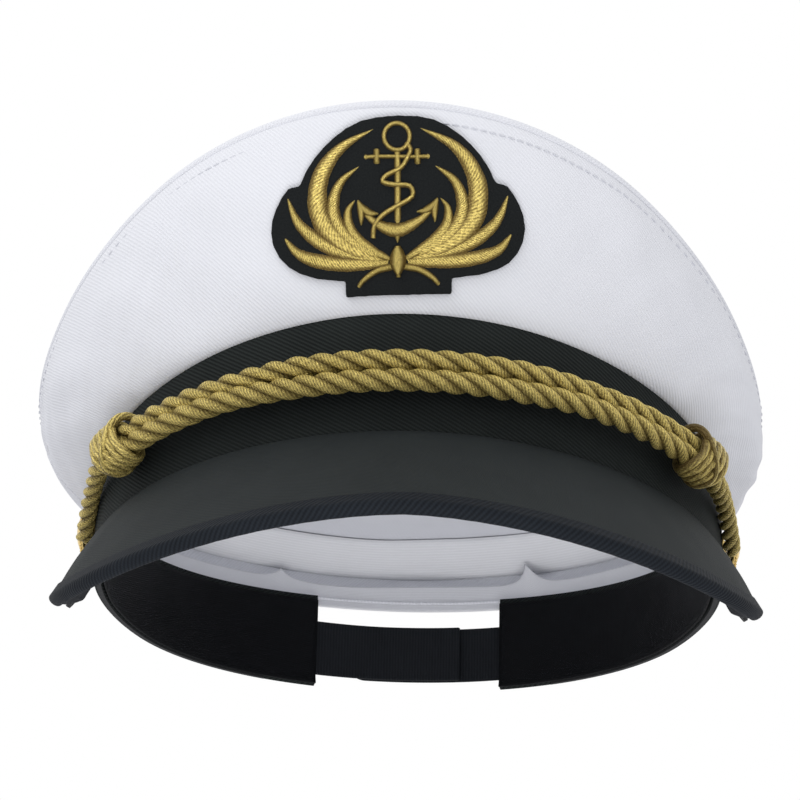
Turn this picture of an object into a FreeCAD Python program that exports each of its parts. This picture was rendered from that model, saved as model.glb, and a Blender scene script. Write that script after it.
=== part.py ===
import FreeCAD, Part
import math
import os
import re

import Sketcher
from FreeCAD import Placement, Rotation, Vector

# A peaked captain's cap: a white twill crown stretched over a hoop, a black twill band with a
# sweatband inside, a sewn visor, a doubled gold cord held by two side buttons, and an embroidered
# patch. Millimetres. The origin is the centre of the head opening, in the plane of the rim;
# +X is the wearer's left, the visor points to -Y and the crown is up +Z.

SIZES = {
    # The head opening: a four-arc oval, the outside of the band, for a head of about 58 cm.
    "band_half_width": 87,
    "band_half_length": 103,
    "band_end_radius": 84,
    "cover_thick": 0.9,
    "stiffener_thick": 1.3,
    "sweatband_thick": 0.8,
    # Side view of the band: its lower edge lifts towards the front, and so does its upper edge.
    "rise_start": 7,
    "rim_rise": 9.3,
    "band_top_side": 22.5,
    "band_top_front": 41.6,
    "band_top_back": 29,
    "front_overrun": 8,
    "pad_height": 48,
    "back_gap_half": 30,
    # Top edge of the crown: another four-arc oval, whose height is a long slope, a bend and a peak.
    "hoop_half_width": 101.8,
    "hoop_half_length": 119,
    "hoop_end_radius": 88,
    "crown_height_back": 51,
    "crown_height_knee": 48,
    "crown_height_front": 86.6,
    "crown_lean": 3.2,
    "knee_distance": 26,
    "knee_radius": 150,
    "twill_thick": 1.2,
    "bulge_front": 0.8,
    "bulge_side": 3.5,
    "sewing_gap": 0.1,
    "welt_width": 2.2,
    "welt_height": 1.8,
    "hoop_strip_width": 1.6,
    "hoop_strip_height": 2,
    "hoop_strip_inset": 5,
    "hoop_strip_drop": 4.3,
    "buckram_thick": 1.2,
    "buckram_half_angle": 60,
    "tape_thick": 0.7,
    # Visor: reach along its own slope, slope at the centre and how much steeper it gets at the sides.
    "visor_half_angle": 84,
    "visor_reach": 47,
    "visor_slope": 41,
    "visor_steepening": 22,
    "seam_above_rim": 2.5,
    "visor_cover_thick": 0.5,
    "visor_board_thick": 1.2,
    "binding_thick": 0.5,
    "binding_width": 3.4,
    # Gold cord: two cords, one above the other, along a circle that is tilted down at the sides.
    "cord_radius": 2.85,
    "cord_run_radius": 91,
    "cord_tilt": 12,
    "cord_front_height": 25,
    "cord_tail_angle": 58,
    "cord_lead_angle": 62,
    "cord_end_height": 13.5,
    "eye_major": 4.2,
    "eye_minor": 0.6,
    "eye_offset": 87.75,
    # Knots that slide on the two cords.
    "knot_angle": 56.4,
    "knot_half_span": 4,
    "knot_clearance": 0.4,
    "knot_back_wall": 0.9,
    "knot_front_wall": 1.2,
    "knot_side_wall": 1.2,
    "knot_round": 1.1,
    # Side buttons, on shanks that turn in eyelets.
    "button_back": 9,
    "button_height": 14.5,
    "button_offset": 88.7,
    "button_radius": 7.2,
    "button_rim": 0.8,
    "button_dome": 2.4,
    "shell_thick": 0.5,
    "button_plate_thick": 0.6,
    "shank_radius": 1.6,
    "shank_length": 7,
    "clip_radius": 4,
    "clip_thick": 0.8,
    "running_gap": 0.05,
    "eyelet_radius": 2.4,
    "eyelet_flange": 3.4,
    "eyelet_flange_thick": 0.25,
    # Adjustable strap across the gap at the back.
    "strap_low": 3.7,
    "strap_width": 17.3,
    "strap_thick": 1.0,
    "pile_thick": 0.45,
    "pile_gap": 0.3,
    "pile_margin": 1.5,
    "strap_corner": 6,
    # Badge: a felt patch on the front of the crown, with its embroidery standing on it.
    "badge_centre_height": 66.5,
    "badge_shift": 3.7,
    "badge_lean": 2,
    "felt_thick": 1.1,
    "thread_thick": 1.0,
}

doc = FreeCAD.newDocument("PeakedCap")
sheet = doc.addObject("Spreadsheet::Sheet", "Sizes")
for row, (name, number) in enumerate(SIZES.items(), start=1):
    sheet.set(f"A{row}", name)
    sheet.set(f"B{row}", str(number))
    sheet.setAlias(f"B{row}", name)
doc.recompute()

parts = {}


def linked(formula):
    """A formula on the names of the sheet, as an expression of the document."""
    return re.sub(r"[a-z]\w+", lambda word: ("Sizes." if word.group() in SIZES else "") + word.group(), formula)


def size(formula):
    """The number that a formula on the sheet's names comes to."""
    return float(sheet.evalExpression(linked(formula)))


# Formulas of the two ovals and of the arcs of the side view.
BAND_CENTRE = "(band_half_length - band_end_radius)"
BAND_SIDE_RADIUS = (
    f"((band_half_width^2 + {BAND_CENTRE}^2 - band_end_radius^2) / (2 * (band_half_width - band_end_radius)))"
)
HOOP_CENTRE = "(hoop_half_length - hoop_end_radius)"
HOOP_SIDE_RADIUS = (
    f"((hoop_half_width^2 + {HOOP_CENTRE}^2 - hoop_end_radius^2) / (2 * (hoop_half_width - hoop_end_radius)))"
)
RISE_RUN = "(band_half_length + rise_start)"
RIM_RADIUS = f"(({RISE_RUN}^2 + rim_rise^2) / (2 * rim_rise))"
TOP_RISE = "(band_top_front - band_top_side)"
TOP_RADIUS = f"(({RISE_RUN}^2 + {TOP_RISE}^2) / (2 * {TOP_RISE}))"
BAND_THICK = "(cover_thick + stiffener_thick + sweatband_thick)"


# ---- Sketch and body helpers ----


def plane_of(body, role):
    return next(o for o in body.Origin.OriginFeatures if o.Role == role)


def new_body(label):
    body = doc.addObject("PartDesign::Body", "Body_" + label)
    body.Label = label
    return body


def new_sketch(body, role, name):
    sketch = body.newObject("Sketcher::SketchObject", name)
    sketch.AttachmentSupport = (plane_of(body, role), [""])
    sketch.MapMode = "FlatFace"
    return sketch


def bind(sketch, formula, *constraint):
    """Adds a driven size to a sketch: the constraint's value is a formula on the sheet."""
    index = sketch.addConstraint(Sketcher.Constraint(*constraint, size(formula)))
    sketch.setExpression(f"Constraints[{index}]", linked(formula))


def place_point(sketch, geometry, point, x_formula, y_formula):
    """Holds a point at signed distances from the sketch's origin."""
    for kind, axis, formula in (("DistanceX", -2, x_formula), ("DistanceY", -1, y_formula)):
        value = size(formula)
        if abs(value) < 1e-9:
            sketch.addConstraint(Sketcher.Constraint("PointOnObject", geometry, point, axis))
        elif value > 0:
            bind(sketch, formula, kind, -1, 1, geometry, point)
        else:
            bind(sketch, f"-({formula})", kind, geometry, point, -1, 1)


def polygon(sketch, corners):
    """A closed outline of straight lines through corners given as pairs of formulas."""
    points = [Vector(size(x), size(y), 0) for x, y in corners]
    lines = [
        sketch.addGeometry(Part.LineSegment(points[i], points[(i + 1) % len(points)]))
        for i in range(len(points))
    ]
    for i, line in enumerate(lines):
        sketch.addConstraint(Sketcher.Constraint("Coincident", line, 2, lines[(i + 1) % len(lines)], 1))
        place_point(sketch, line, 1, *corners[i])


def half_oval(sketch, radius, centre, side_shift):
    """The right half of a four-arc oval, from the front centre to the back centre: three arcs."""
    end, offset, shift = size(radius), size(centre), size(side_shift)
    turn = math.atan2(offset, shift)
    side = end + math.hypot(offset, shift)
    up = Vector(0, 0, 1)
    front = sketch.addGeometry(
        Part.ArcOfCircle(Part.Circle(Vector(0, -offset, 0), up, end), -math.pi / 2, -turn)
    )
    flank = sketch.addGeometry(Part.ArcOfCircle(Part.Circle(Vector(-shift, 0, 0), up, side), -turn, turn))
    back = sketch.addGeometry(
        Part.ArcOfCircle(Part.Circle(Vector(0, offset, 0), up, end), turn, math.pi / 2)
    )
    sketch.addConstraint(Sketcher.Constraint("Tangent", front, 2, flank, 1))
    sketch.addConstraint(Sketcher.Constraint("Tangent", flank, 2, back, 1))
    place_point(sketch, front, 3, "0", f"-{centre}")
    place_point(sketch, flank, 3, f"-({side_shift})", "0")
    place_point(sketch, back, 3, "0", centre)
    sketch.addConstraint(Sketcher.Constraint("PointOnObject", front, 1, -2))
    sketch.addConstraint(Sketcher.Constraint("PointOnObject", back, 2, -2))
    bind(sketch, radius, "Radius", front)
    return front, back


def join_ends(sketch, first, first_point, second, second_point):
    a = sketch.getPoint(first, first_point)
    b = sketch.getPoint(second, second_point)
    line = sketch.addGeometry(Part.LineSegment(a, b))
    sketch.addConstraint(Sketcher.Constraint("Coincident", line, 1, first, first_point))
    sketch.addConstraint(Sketcher.Constraint("Coincident", line, 2, second, second_point))


def pad(body, sketch, formula, midplane=False):
    feature = body.newObject("PartDesign::Pad", "Pad")
    feature.Profile = sketch
    feature.Midplane = midplane
    feature.setExpression("Length", linked(formula))
    doc.recompute()
    return feature


def cut_through(body, sketch, name):
    """A pocket both ways from the sketch, deep enough for the whole cap. It has to take metal away."""
    before = body.Shape.Volume
    feature = body.newObject("PartDesign::Pocket", name)
    feature.Profile = sketch
    feature.Midplane = True
    feature.setExpression("Length", linked("4 * hoop_half_length"))
    doc.recompute()
    if not body.Shape.Volume < before:
        raise RuntimeError(f"{body.Label}: {name} cuts nothing")


def mirror_in_yz(body, feature):
    mirrored = body.newObject("PartDesign::Mirrored", "Mirrored")
    mirrored.Originals = [feature]
    mirrored.MirrorPlane = (plane_of(body, "YZ_Plane"), [""])
    body.Tip = mirrored
    doc.recompute()


def revolve(body, sketch, formula, midplane=False):
    feature = body.newObject("PartDesign::Revolution", "Revolution")
    feature.Profile = sketch
    feature.ReferenceAxis = (sketch, ["V_Axis"])
    feature.Midplane = midplane
    feature.setExpression("Angle", linked(formula))
    doc.recompute()
    return feature


def fillet_edges(body, feature, wanted, formula):
    """Rounds the edges of the feature that the test names."""
    names = [f"Edge{i}" for i, edge in enumerate(feature.Shape.Edges, start=1) if wanted(edge)]
    rounded = body.newObject("PartDesign::Fillet", "Fillet")
    rounded.Base = (feature, names)
    rounded.setExpression("Radius", linked(formula))
    doc.recompute()


def keep(item, label):
    item.Label = label
    parts[label] = item


def oval_point(turn, half_width, half_length, end_radius):
    """Point of a four-arc oval where its outward normal is turned this far from the front."""
    centre = half_length - end_radius
    side_radius = (half_width**2 + centre**2 - end_radius**2) / (2 * (half_width - end_radius))
    shift = side_radius - half_width
    normal = Vector(math.sin(turn), -math.cos(turn), 0)
    junction = math.pi / 2 - math.atan2(centre, shift)
    if abs(math.sin(turn)) > math.sin(junction):
        hub, radius = Vector(-math.copysign(shift, normal.x), 0, 0), side_radius
    else:
        hub, radius = Vector(0, math.copysign(centre, normal.y), 0), end_radius
    return hub + normal * radius, normal


def band_point(turn):
    return oval_point(turn, size("band_half_width"), size("band_half_length"), size("band_end_radius"))


# ---- Band: cover, stiffener and sweatband, three layers of one oval ----


def cut_below_rim(body):
    """Takes away what lies under the rim, whose front lifts along one large arc."""
    sketch = new_sketch(body, "YZ_Plane", "RimLine")
    radius, start = size(RIM_RADIUS), size("rise_start")
    far = size("band_half_length + front_overrun")
    end = -math.pi / 2 - math.asin((far + start) / radius)
    arc = sketch.addGeometry(
        Part.ArcOfCircle(
            Part.Circle(Vector(start, radius, 0), Vector(0, 0, 1), radius), end, -math.pi / 2
        )
    )
    bind(sketch, RIM_RADIUS, "Radius", arc)
    place_point(sketch, arc, 3, "rise_start", RIM_RADIUS)
    sketch.addConstraint(Sketcher.Constraint("Vertical", arc, 3, arc, 2))
    bind(sketch, "band_half_length + front_overrun", "DistanceX", arc, 1, -1, 1)
    first, last = sketch.getPoint(arc, 1), sketch.getPoint(arc, 2)
    floor_y = -size("front_overrun")
    down = sketch.addGeometry(Part.LineSegment(first, Vector(first.x, floor_y, 0)))
    along = sketch.addGeometry(Part.LineSegment(Vector(first.x, floor_y, 0), Vector(last.x, floor_y, 0)))
    rise = sketch.addGeometry(Part.LineSegment(Vector(last.x, floor_y, 0), last))
    for a, point_a, b, point_b in ((arc, 1, down, 1), (down, 2, along, 1), (along, 2, rise, 1), (rise, 2, arc, 2)):
        sketch.addConstraint(Sketcher.Constraint("Coincident", a, point_a, b, point_b))
    for line in (down, rise):
        sketch.addConstraint(Sketcher.Constraint("Vertical", line))
    sketch.addConstraint(Sketcher.Constraint("Horizontal", along))
    bind(sketch, "front_overrun", "DistanceY", along, 1, -1, 1)
    cut_through(body, sketch, "RimCut")


def cut_above_band(body):
    """Takes away what lies above the band: an arc that rises to the front, a straight line to the back."""
    sketch = new_sketch(body, "YZ_Plane", "TopLine")
    radius, start, side_z = size(TOP_RADIUS), size("rise_start"), size("band_top_side")
    far = size("band_half_length + front_overrun")
    end = -math.pi / 2 - math.asin((far + start) / radius)
    arc = sketch.addGeometry(
        Part.ArcOfCircle(
            Part.Circle(Vector(start, side_z + radius, 0), Vector(0, 0, 1), radius), end, -math.pi / 2
        )
    )
    bind(sketch, TOP_RADIUS, "Radius", arc)
    place_point(sketch, arc, 3, "rise_start", f"band_top_side + {TOP_RADIUS}")
    sketch.addConstraint(Sketcher.Constraint("Vertical", arc, 3, arc, 2))
    bind(sketch, "band_half_length + front_overrun", "DistanceX", arc, 1, -1, 1)
    first, last = sketch.getPoint(arc, 1), sketch.getPoint(arc, 2)
    corners = [
        ("band_half_length", "band_top_back"),
        ("band_half_length + front_overrun", "band_top_back"),
        ("band_half_length + front_overrun", "pad_height + front_overrun"),
        ("-(band_half_length + front_overrun)", "pad_height + front_overrun"),
    ]
    points = [last] + [Vector(size(x), size(y), 0) for x, y in corners] + [first]
    lines = [sketch.addGeometry(Part.LineSegment(a, b)) for a, b in zip(points, points[1:])]
    sketch.addConstraint(Sketcher.Constraint("Coincident", arc, 2, lines[0], 1))
    for a, b in zip(lines, lines[1:]):
        sketch.addConstraint(Sketcher.Constraint("Coincident", a, 2, b, 1))
    sketch.addConstraint(Sketcher.Constraint("Coincident", lines[-1], 2, arc, 1))
    for line, corner in zip(lines, corners):
        place_point(sketch, line, 2, *corner)
    cut_through(body, sketch, "TopCut")


def cut_back_gap(body, half_width):
    sketch = new_sketch(body, "XY_Plane", "BackGap")
    near, far = "band_end_radius / 2", "band_half_length + front_overrun"
    polygon(sketch, [(f"-({half_width})", near), (half_width, near), (half_width, far), (f"-({half_width})", far)])
    cut_through(body, sketch, "GapCut")


def cut_button_holes(body):
    sketch = new_sketch(body, "YZ_Plane", "ButtonHole")
    circle = sketch.addGeometry(
        Part.Circle(Vector(-size("button_back"), size("button_height"), 0), Vector(0, 0, 1), size("eyelet_radius"))
    )
    place_point(sketch, circle, 3, "-button_back", "button_height")
    bind(sketch, "eyelet_radius + running_gap", "Radius", circle)
    cut_through(body, sketch, "HoleCut")


def band_layer(label, outer, inner, gap_half):
    """One layer of the band, between two offsets inwards from the outside of the oval."""
    body = new_body(label)
    sketch = new_sketch(body, "XY_Plane", "HalfRing")
    shift = f"({BAND_SIDE_RADIUS} - band_half_width)"
    outer_front, outer_back = half_oval(sketch, f"band_end_radius - {outer}", BAND_CENTRE, shift)
    inner_front, inner_back = half_oval(sketch, f"band_end_radius - {inner}", BAND_CENTRE, shift)
    join_ends(sketch, outer_front, 1, inner_front, 1)
    join_ends(sketch, outer_back, 2, inner_back, 2)
    mirror_in_yz(body, pad(body, sketch, "pad_height"))
    cut_below_rim(body)
    cut_above_band(body)
    cut_back_gap(body, gap_half)
    cut_button_holes(body)
    keep(body, label)


band_layer("band_cover", "0", "cover_thick", "back_gap_half")
band_layer("band_stiffener", "cover_thick", "(cover_thick + stiffener_thick)", "1.5 * back_gap_half")
band_layer("sweatband", "(cover_thick + stiffener_thick)", BAND_THICK, "back_gap_half")


# ---- Strap: two ends that overlap across the back gap, held by hook and loop pads ----


def strap_piece(label, inner, outer, first_x, last_x, margin="0"):
    """A length of strap that follows the back of the oval, from one x to the other."""
    body = new_body(label)
    sketch = new_sketch(body, "XZ_Plane", "Section")
    low, high = f"strap_low + {margin}", f"strap_low + strap_width - {margin}"
    polygon(sketch, [(inner, low), (outer, low), (outer, high), (inner, high)])
    mean = f"(({inner} + {outer}) / 2)"
    first_turn = f"acos(({first_x}) / {mean})"
    last_turn = f"acos(({last_x}) / {mean})"
    feature = revolve(body, sketch, f"{first_turn} - {last_turn}")
    body.Placement = Placement(Vector(0, size(BAND_CENTRE), 0), Rotation(Vector(0, 0, 1), size(last_turn)))
    body.setExpression("Placement.Base.y", linked(BAND_CENTRE))
    keep(body, label)
    return body, feature


STRAP_IN = f"(band_end_radius - cover_thick - stiffener_thick)"
STRAP_FACE = f"({STRAP_IN} + strap_thick)"
LOOP_FACE = f"({STRAP_FACE} + pile_thick)"
HOOK_FACE = f"({LOOP_FACE} + pile_gap)"
TAB_FACE = f"({HOOK_FACE} + pile_thick)"
TAB_BACK = f"({TAB_FACE} + strap_thick)"
strap_piece("strap_left", STRAP_IN, STRAP_FACE, "-1.45 * back_gap_half", "0.55 * back_gap_half")
strap_piece("loop_pad", STRAP_FACE, LOOP_FACE, "-0.7 * back_gap_half", "0.5 * back_gap_half", "pile_margin")
strap_piece("hook_pad", HOOK_FACE, TAB_FACE, "-0.55 * back_gap_half", "0.3 * back_gap_half", "pile_margin")
strap_piece("strap_right_anchor", TAB_FACE, TAB_BACK, "back_gap_half", "1.45 * back_gap_half")
tab_body, tab_feature = strap_piece("strap_right", TAB_FACE, TAB_BACK, "-0.65 * back_gap_half", "back_gap_half - 2 * pile_gap")


def at_free_end(edge):
    """The two short edges across the strap's thickness at its free end."""
    far_turn = math.radians(size("acos(-0.65 * back_gap_half / band_end_radius)"))
    middle = edge.BoundBox.Center
    turn = math.atan2(middle.y - size(BAND_CENTRE), middle.x)
    return edge.Length < size("1.05 * strap_thick") and abs(turn - far_turn) < 0.03


fillet_edges(tab_body, tab_feature, lambda edge: at_free_end(edge.transformed(tab_body.Placement.Matrix)), "strap_corner")


# ---- Side buttons: shell, plate with shank, clip and eyelet, turned about the shank's axis ----


def outward(side, offset):
    """The place of a turned piece: its own +Z points out of the cap's side."""
    position = Vector(side * size(offset), -size("button_back"), size("button_height"))
    return Placement(position, Rotation(Vector(0, 1, 0), 90 * side))


def turned(label, corners, side, offset):
    """A ring or disc turned from a straight-sided section of (radius, distance along the axis)."""
    body = new_body(label)
    sketch = new_sketch(body, "XZ_Plane", "Section")
    polygon(sketch, corners)
    revolve(body, sketch, "360")
    body.Placement = outward(side, offset)
    keep(body, label)


def button_shell(label, side):
    """A domed shell: a straight rim and a spherical cap, hollow underneath."""
    body = new_body(label)
    sketch = new_sketch(body, "XZ_Plane", "Section")
    radius, rim, dome, wall = (size(n) for n in ("button_radius", "button_rim", "button_dome", "shell_thick"))
    sphere = (radius**2 + dome**2) / (2 * dome)
    centre = Vector(0, rim + dome - sphere, 0)
    up = Vector(0, 0, 1)
    inner = radius - wall
    start = math.acos(radius / sphere)
    inner_start = math.acos(inner / (sphere - wall))
    crown = sketch.addGeometry(Part.ArcOfCircle(Part.Circle(centre, up, sphere), start, math.pi / 2))
    under = sketch.addGeometry(
        Part.ArcOfCircle(Part.Circle(centre, up, sphere - wall), inner_start, math.pi / 2)
    )
    sphere_formula = "((button_radius^2 + button_dome^2) / (2 * button_dome))"
    for arc, formula in ((crown, sphere_formula), (under, f"{sphere_formula} - shell_thick")):
        bind(sketch, formula, "Radius", arc)
        place_point(sketch, arc, 3, "0", f"button_rim + button_dome - {sphere_formula}")
        sketch.addConstraint(Sketcher.Constraint("PointOnObject", arc, 2, -2))
    bind(sketch, "button_radius", "DistanceX", -1, 1, crown, 1)
    bind(sketch, "button_radius - shell_thick", "DistanceX", -1, 1, under, 1)
    join_ends(sketch, crown, 2, under, 2)
    outer_low, inner_low = Vector(radius, 0, 0), Vector(inner, 0, 0)
    side_line = sketch.addGeometry(Part.LineSegment(sketch.getPoint(crown, 1), outer_low))
    base_line = sketch.addGeometry(Part.LineSegment(outer_low, inner_low))
    inner_line = sketch.addGeometry(Part.LineSegment(inner_low, sketch.getPoint(under, 1)))
    pairs = ((crown, 1, side_line, 1), (side_line, 2, base_line, 1), (base_line, 2, inner_line, 1), (inner_line, 2, under, 1))
    for a, point_a, b, point_b in pairs:
        sketch.addConstraint(Sketcher.Constraint("Coincident", a, point_a, b, point_b))
    for line in (side_line, inner_line):
        sketch.addConstraint(Sketcher.Constraint("Vertical", line))
    sketch.addConstraint(Sketcher.Constraint("PointOnObject", base_line, 1, -1))
    sketch.addConstraint(Sketcher.Constraint("PointOnObject", base_line, 2, -1))
    revolve(body, sketch, "360")
    body.Placement = outward(side, "button_offset")
    keep(body, label)


CLIP_TOP = "-(shank_length - clip_thick)"
FLANGE_FRONT = "(button_back - eyelet_flange)"
BAND_FACE = f"({BAND_SIDE_RADIUS} * cos(asin({FLANGE_FRONT} / {BAND_SIDE_RADIUS})) - {BAND_SIDE_RADIUS} + band_half_width)"
for side, hand in ((-1, "right"), (1, "left")):
    button_shell(f"{hand}_button_shell", side)
    plate_radius = "button_radius - shell_thick"
    turned(
        f"{hand}_button_shank",
        [
            ("0", "button_plate_thick"),
            (plate_radius, "button_plate_thick"),
            (plate_radius, "0"),
            ("shank_radius", "0"),
            ("shank_radius", "-shank_length"),
            ("0", "-shank_length"),
        ],
        side,
        "button_offset",
    )
    turned(
        f"{hand}_button_clip",
        [
            ("shank_radius", CLIP_TOP),
            ("clip_radius", CLIP_TOP),
            ("clip_radius", "-shank_length"),
            ("shank_radius", "-shank_length"),
        ],
        side,
        "button_offset",
    )
    turned(
        f"{hand}_eyelet",
        [
            ("shank_radius + running_gap", "eyelet_flange_thick"),
            ("eyelet_flange", "eyelet_flange_thick"),
            ("eyelet_flange", "0"),
            ("eyelet_radius", "0"),
            ("eyelet_radius", f"-{BAND_THICK}"),
            ("shank_radius + running_gap", f"-{BAND_THICK}"),
        ],
        side,
        BAND_FACE,
    )


# ---- Gold cord: two cords on one tilted circle, each with an eye over one button's shank ----

TILT = Placement(
    Vector(0, -size(BAND_CENTRE), size("cord_front_height - cord_run_radius * sin(cord_tilt)")),
    Rotation(Vector(1, 0, 0), -size("cord_tilt")),
)


def on_tilted_circle(turn_from_front):
    """The tilted circle's own frame, turned so that +X points to an angle from the front."""
    return TILT.multiply(Placement(Vector(), Rotation(Vector(0, 0, 1), turn_from_front - 90)))


def smooth_run(points):
    """Edges of a path through points: straight runs, joined at each turn by an arc tangent to both."""
    edges = []
    start = points[0]
    for before, corner, after in zip(points, points[1:], points[2:]):
        back, ahead = (before - corner), (after - corner)
        half_turn = (math.pi - back.getAngle(ahead)) / 2
        cut = 0.45 * min(back.Length, ahead.Length)
        first, last = corner + back.normalize() * cut, corner + ahead.normalize() * cut
        inward = (back + ahead).normalize()
        bend = cut / math.tan(half_turn)
        middle = corner + inward * (bend / math.cos(half_turn) - bend)
        edges += [Part.makeLine(start, first), Part.Arc(first, middle, last).toShape()]
        start = last
    return edges + [Part.makeLine(start, points[-1])]


def cord_path(side, level):
    """Centre line of a cord: along the tilted circle, then in against the band and back to the button."""
    radius = Vector(size("cord_run_radius"), 0, level * size("cord_radius"))
    tail, last = -side * size("cord_tail_angle"), side * size("cord_lead_angle")
    spots = [on_tilted_circle(turn).multVec(radius) for turn in (tail, (tail + last) / 2, last)]
    ahead = on_tilted_circle(last).Rotation.multVec(Vector(0, side, 0))
    points = [spots[-1], spots[-1] + ahead * 2 * size("cord_radius")]
    start_height = points[-1].z
    end_turn = math.pi / 2 - math.asin((size("button_back") + size("button_radius + 1")) / size(BAND_SIDE_RADIUS))
    first_turn = math.radians(size("cord_lead_angle") + 12)
    for i in range(3):
        turn = first_turn + (end_turn - first_turn) * i / 2
        point, normal = band_point(side * turn)
        point += normal * size("cord_radius + sewing_gap")
        point.z = start_height + (size("cord_end_height") - start_height) * (i + 1) / 3
        points.append(point)
    return Part.Wire([Part.Arc(*spots).toShape()] + smooth_run(points)), points[-1]


def gold_cord(label, side, level):
    """A cord from the eye at one button round the front to its tail inside the far knot."""
    spine, end = cord_path(side, level)
    first = on_tilted_circle(-side * size("cord_tail_angle"))
    start = first.multVec(Vector(size("cord_run_radius"), 0, level * size("cord_radius")))
    circle = Part.Wire([Part.makeCircle(size("cord_radius"), start, first.Rotation.multVec(Vector(0, side, 0)))])
    run = doc.addObject("Part::Feature", "Run_" + label)
    run.Shape = spine.makePipeShell([circle], True, False)
    print(label, "length", round(spine.Length, 1), "volume share", run.Shape.Volume / spine.Length / circle_area())
    eye = doc.addObject("Part::Torus", "Eye_" + label)
    eye.setExpression("Radius1", linked("eye_major"))
    eye.setExpression("Radius2", linked("eye_minor"))
    eye.Placement = outward(side, "eye_offset")
    neck = doc.addObject("Part::Cylinder", "Neck_" + label)
    neck.setExpression("Radius", linked("eye_minor"))
    neck_start = Vector(side * size("eye_offset"), end.y - 2 * size("eye_minor"), end.z)
    reach = -size("button_back") - neck_start.y
    drop = abs(end.z - size("button_height"))
    neck.Height = reach - math.sqrt(size("eye_major") ** 2 - drop**2)
    neck.Placement = Placement(neck_start, Rotation(Vector(0, 0, 1), Vector(0, 1, 0)))
    whole = doc.addObject("Part::MultiFuse", "Fuse_" + label)
    whole.Shapes = [run, neck, eye]
    keep(whole, label)


def circle_area():
    return math.pi * size("cord_radius") ** 2


gold_cord("upper_cord", -1, 1)
gold_cord("lower_cord", 1, -1)


def sliding_knot(label, side):
    """A knot tied round both cords, with a bore that clears them: a short arc of a hollow section."""
    body = new_body(label)
    sketch = new_sketch(body, "XZ_Plane", "Section")
    near = "cord_run_radius - cord_radius - knot_clearance"
    far = "cord_run_radius + cord_radius + knot_clearance"
    high = "(2 * cord_radius + knot_clearance)"
    top = f"({high} + knot_side_wall)"
    back, front = f"{near} - knot_back_wall", f"{far} + knot_front_wall"
    polygon(sketch, [(near, f"-{high}"), (far, f"-{high}"), (far, high), (near, high)])
    polygon(sketch, [(back, f"-{top}"), (front, f"-{top}"), (front, top), (back, top)])
    feature = revolve(body, sketch, "2 * knot_half_span", midplane=True)
    reach = size(front)
    fillet_edges(
        body,
        feature,
        lambda edge: abs(math.hypot(edge.BoundBox.Center.x, edge.BoundBox.Center.y) - reach) < 0.5
        and edge.BoundBox.ZLength < 0.01,
        "knot_round",
    )
    body.Placement = on_tilted_circle(side * size("knot_angle"))
    keep(body, label)


sliding_knot("right_knot", -1)
sliding_knot("left_knot", 1)


# ---- Lofted soft pieces: crown wall, buckram, tape, welt, hoop, visor layers and badge ----


def hoop_point(turn):
    """The crown's top edge leans a little to the wearer's right of the band."""
    point, normal = oval_point(turn, size("hoop_half_width"), size("hoop_half_length"), size("hoop_end_radius"))
    return point - Vector(size("crown_lean"), 0, 0), normal


def lift(y, radius):
    """Height of an arc that leaves the level at rise_start and climbs to the front."""
    run = max(0.0, size("rise_start") - y)
    return radius - math.sqrt(radius**2 - run**2)


def rim_height(y):
    return lift(y, size(RIM_RADIUS))


def band_top(y):
    if y > size("rise_start"):
        share = (y - size("rise_start")) / size("band_half_length - rise_start")
        return size("band_top_side") + share * size("band_top_back - band_top_side")
    return size("band_top_side") + lift(y, size(TOP_RADIUS))


KNEE = Vector(0, -size("knee_distance"), size("crown_height_knee"))
BACK_TOP = Vector(0, size("hoop_half_length"), size("crown_height_back"))
FRONT_TOP = Vector(0, -size("hoop_half_length"), size("crown_height_front"))
SLOPE_BACK = (BACK_TOP - KNEE).normalize()
SLOPE_FRONT = (FRONT_TOP - KNEE).normalize()
KNEE_TANGENT = size("knee_radius") * math.tan((math.pi - SLOPE_BACK.getAngle(SLOPE_FRONT)) / 2)
KNEE_START = KNEE + SLOPE_BACK * KNEE_TANGENT
KNEE_END = KNEE + SLOPE_FRONT * KNEE_TANGENT
KNEE_HUB = KNEE_START + Vector(0, -SLOPE_BACK.z, SLOPE_BACK.y) * size("knee_radius")


def crown_height(y):
    """Height of the crown's top edge: two slopes joined by an arc at the knee."""
    if y > KNEE_START.y:
        return KNEE.z + (y - KNEE.y) * SLOPE_BACK.z / SLOPE_BACK.y
    if y < KNEE_END.y:
        return KNEE.z + (y - KNEE.y) * SLOPE_FRONT.z / SLOPE_FRONT.y
    return KNEE_HUB.z - math.sqrt(size("knee_radius") ** 2 - (y - KNEE_HUB.y) ** 2)


def wall_point(turn, share, offset):
    """Point on the crown's side wall: share runs from the band up to the hoop, offset is outwards."""
    low, normal = band_point(turn)
    high, _ = hoop_point(turn)
    low.z = band_top(low.y)
    high.z = crown_height(high.y)
    bulge = size("bulge_front") + size("bulge_side - bulge_front") * abs(math.sin(turn))
    out = offset + bulge * 4 * share * (1 - share)
    return low * (1 - share) + high * share + normal * out


def wall_section(turn, low_share, high_share, inner, outer):
    """Closed wire across a layer of the wall: two arcs joined by two short lines."""
    shares = (low_share, (low_share + high_share) / 2, high_share)
    outside = [wall_point(turn, s, outer) for s in shares]
    inside = [wall_point(turn, s, inner) for s in shares]
    edges = [
        Part.Arc(*outside).toShape(),
        Part.makeLine(outside[2], inside[2]),
        Part.Arc(*reversed(inside)).toShape(),
        Part.makeLine(inside[0], outside[0]),
    ]
    return Part.Wire(edges)


def turns(first, last, step=6):
    """Angles in radians from first to last degrees, evenly spaced and at most a step apart."""
    count = math.ceil(abs(last - first) / step)
    return [math.radians(first + (last - first) * i / count) for i in range(count + 1)]


def feature(label, shape):
    item = doc.addObject("Part::Feature", "Solid_" + label)
    item.Shape = shape
    item.Placement = Placement()
    keep(item, label)
    return item


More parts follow.
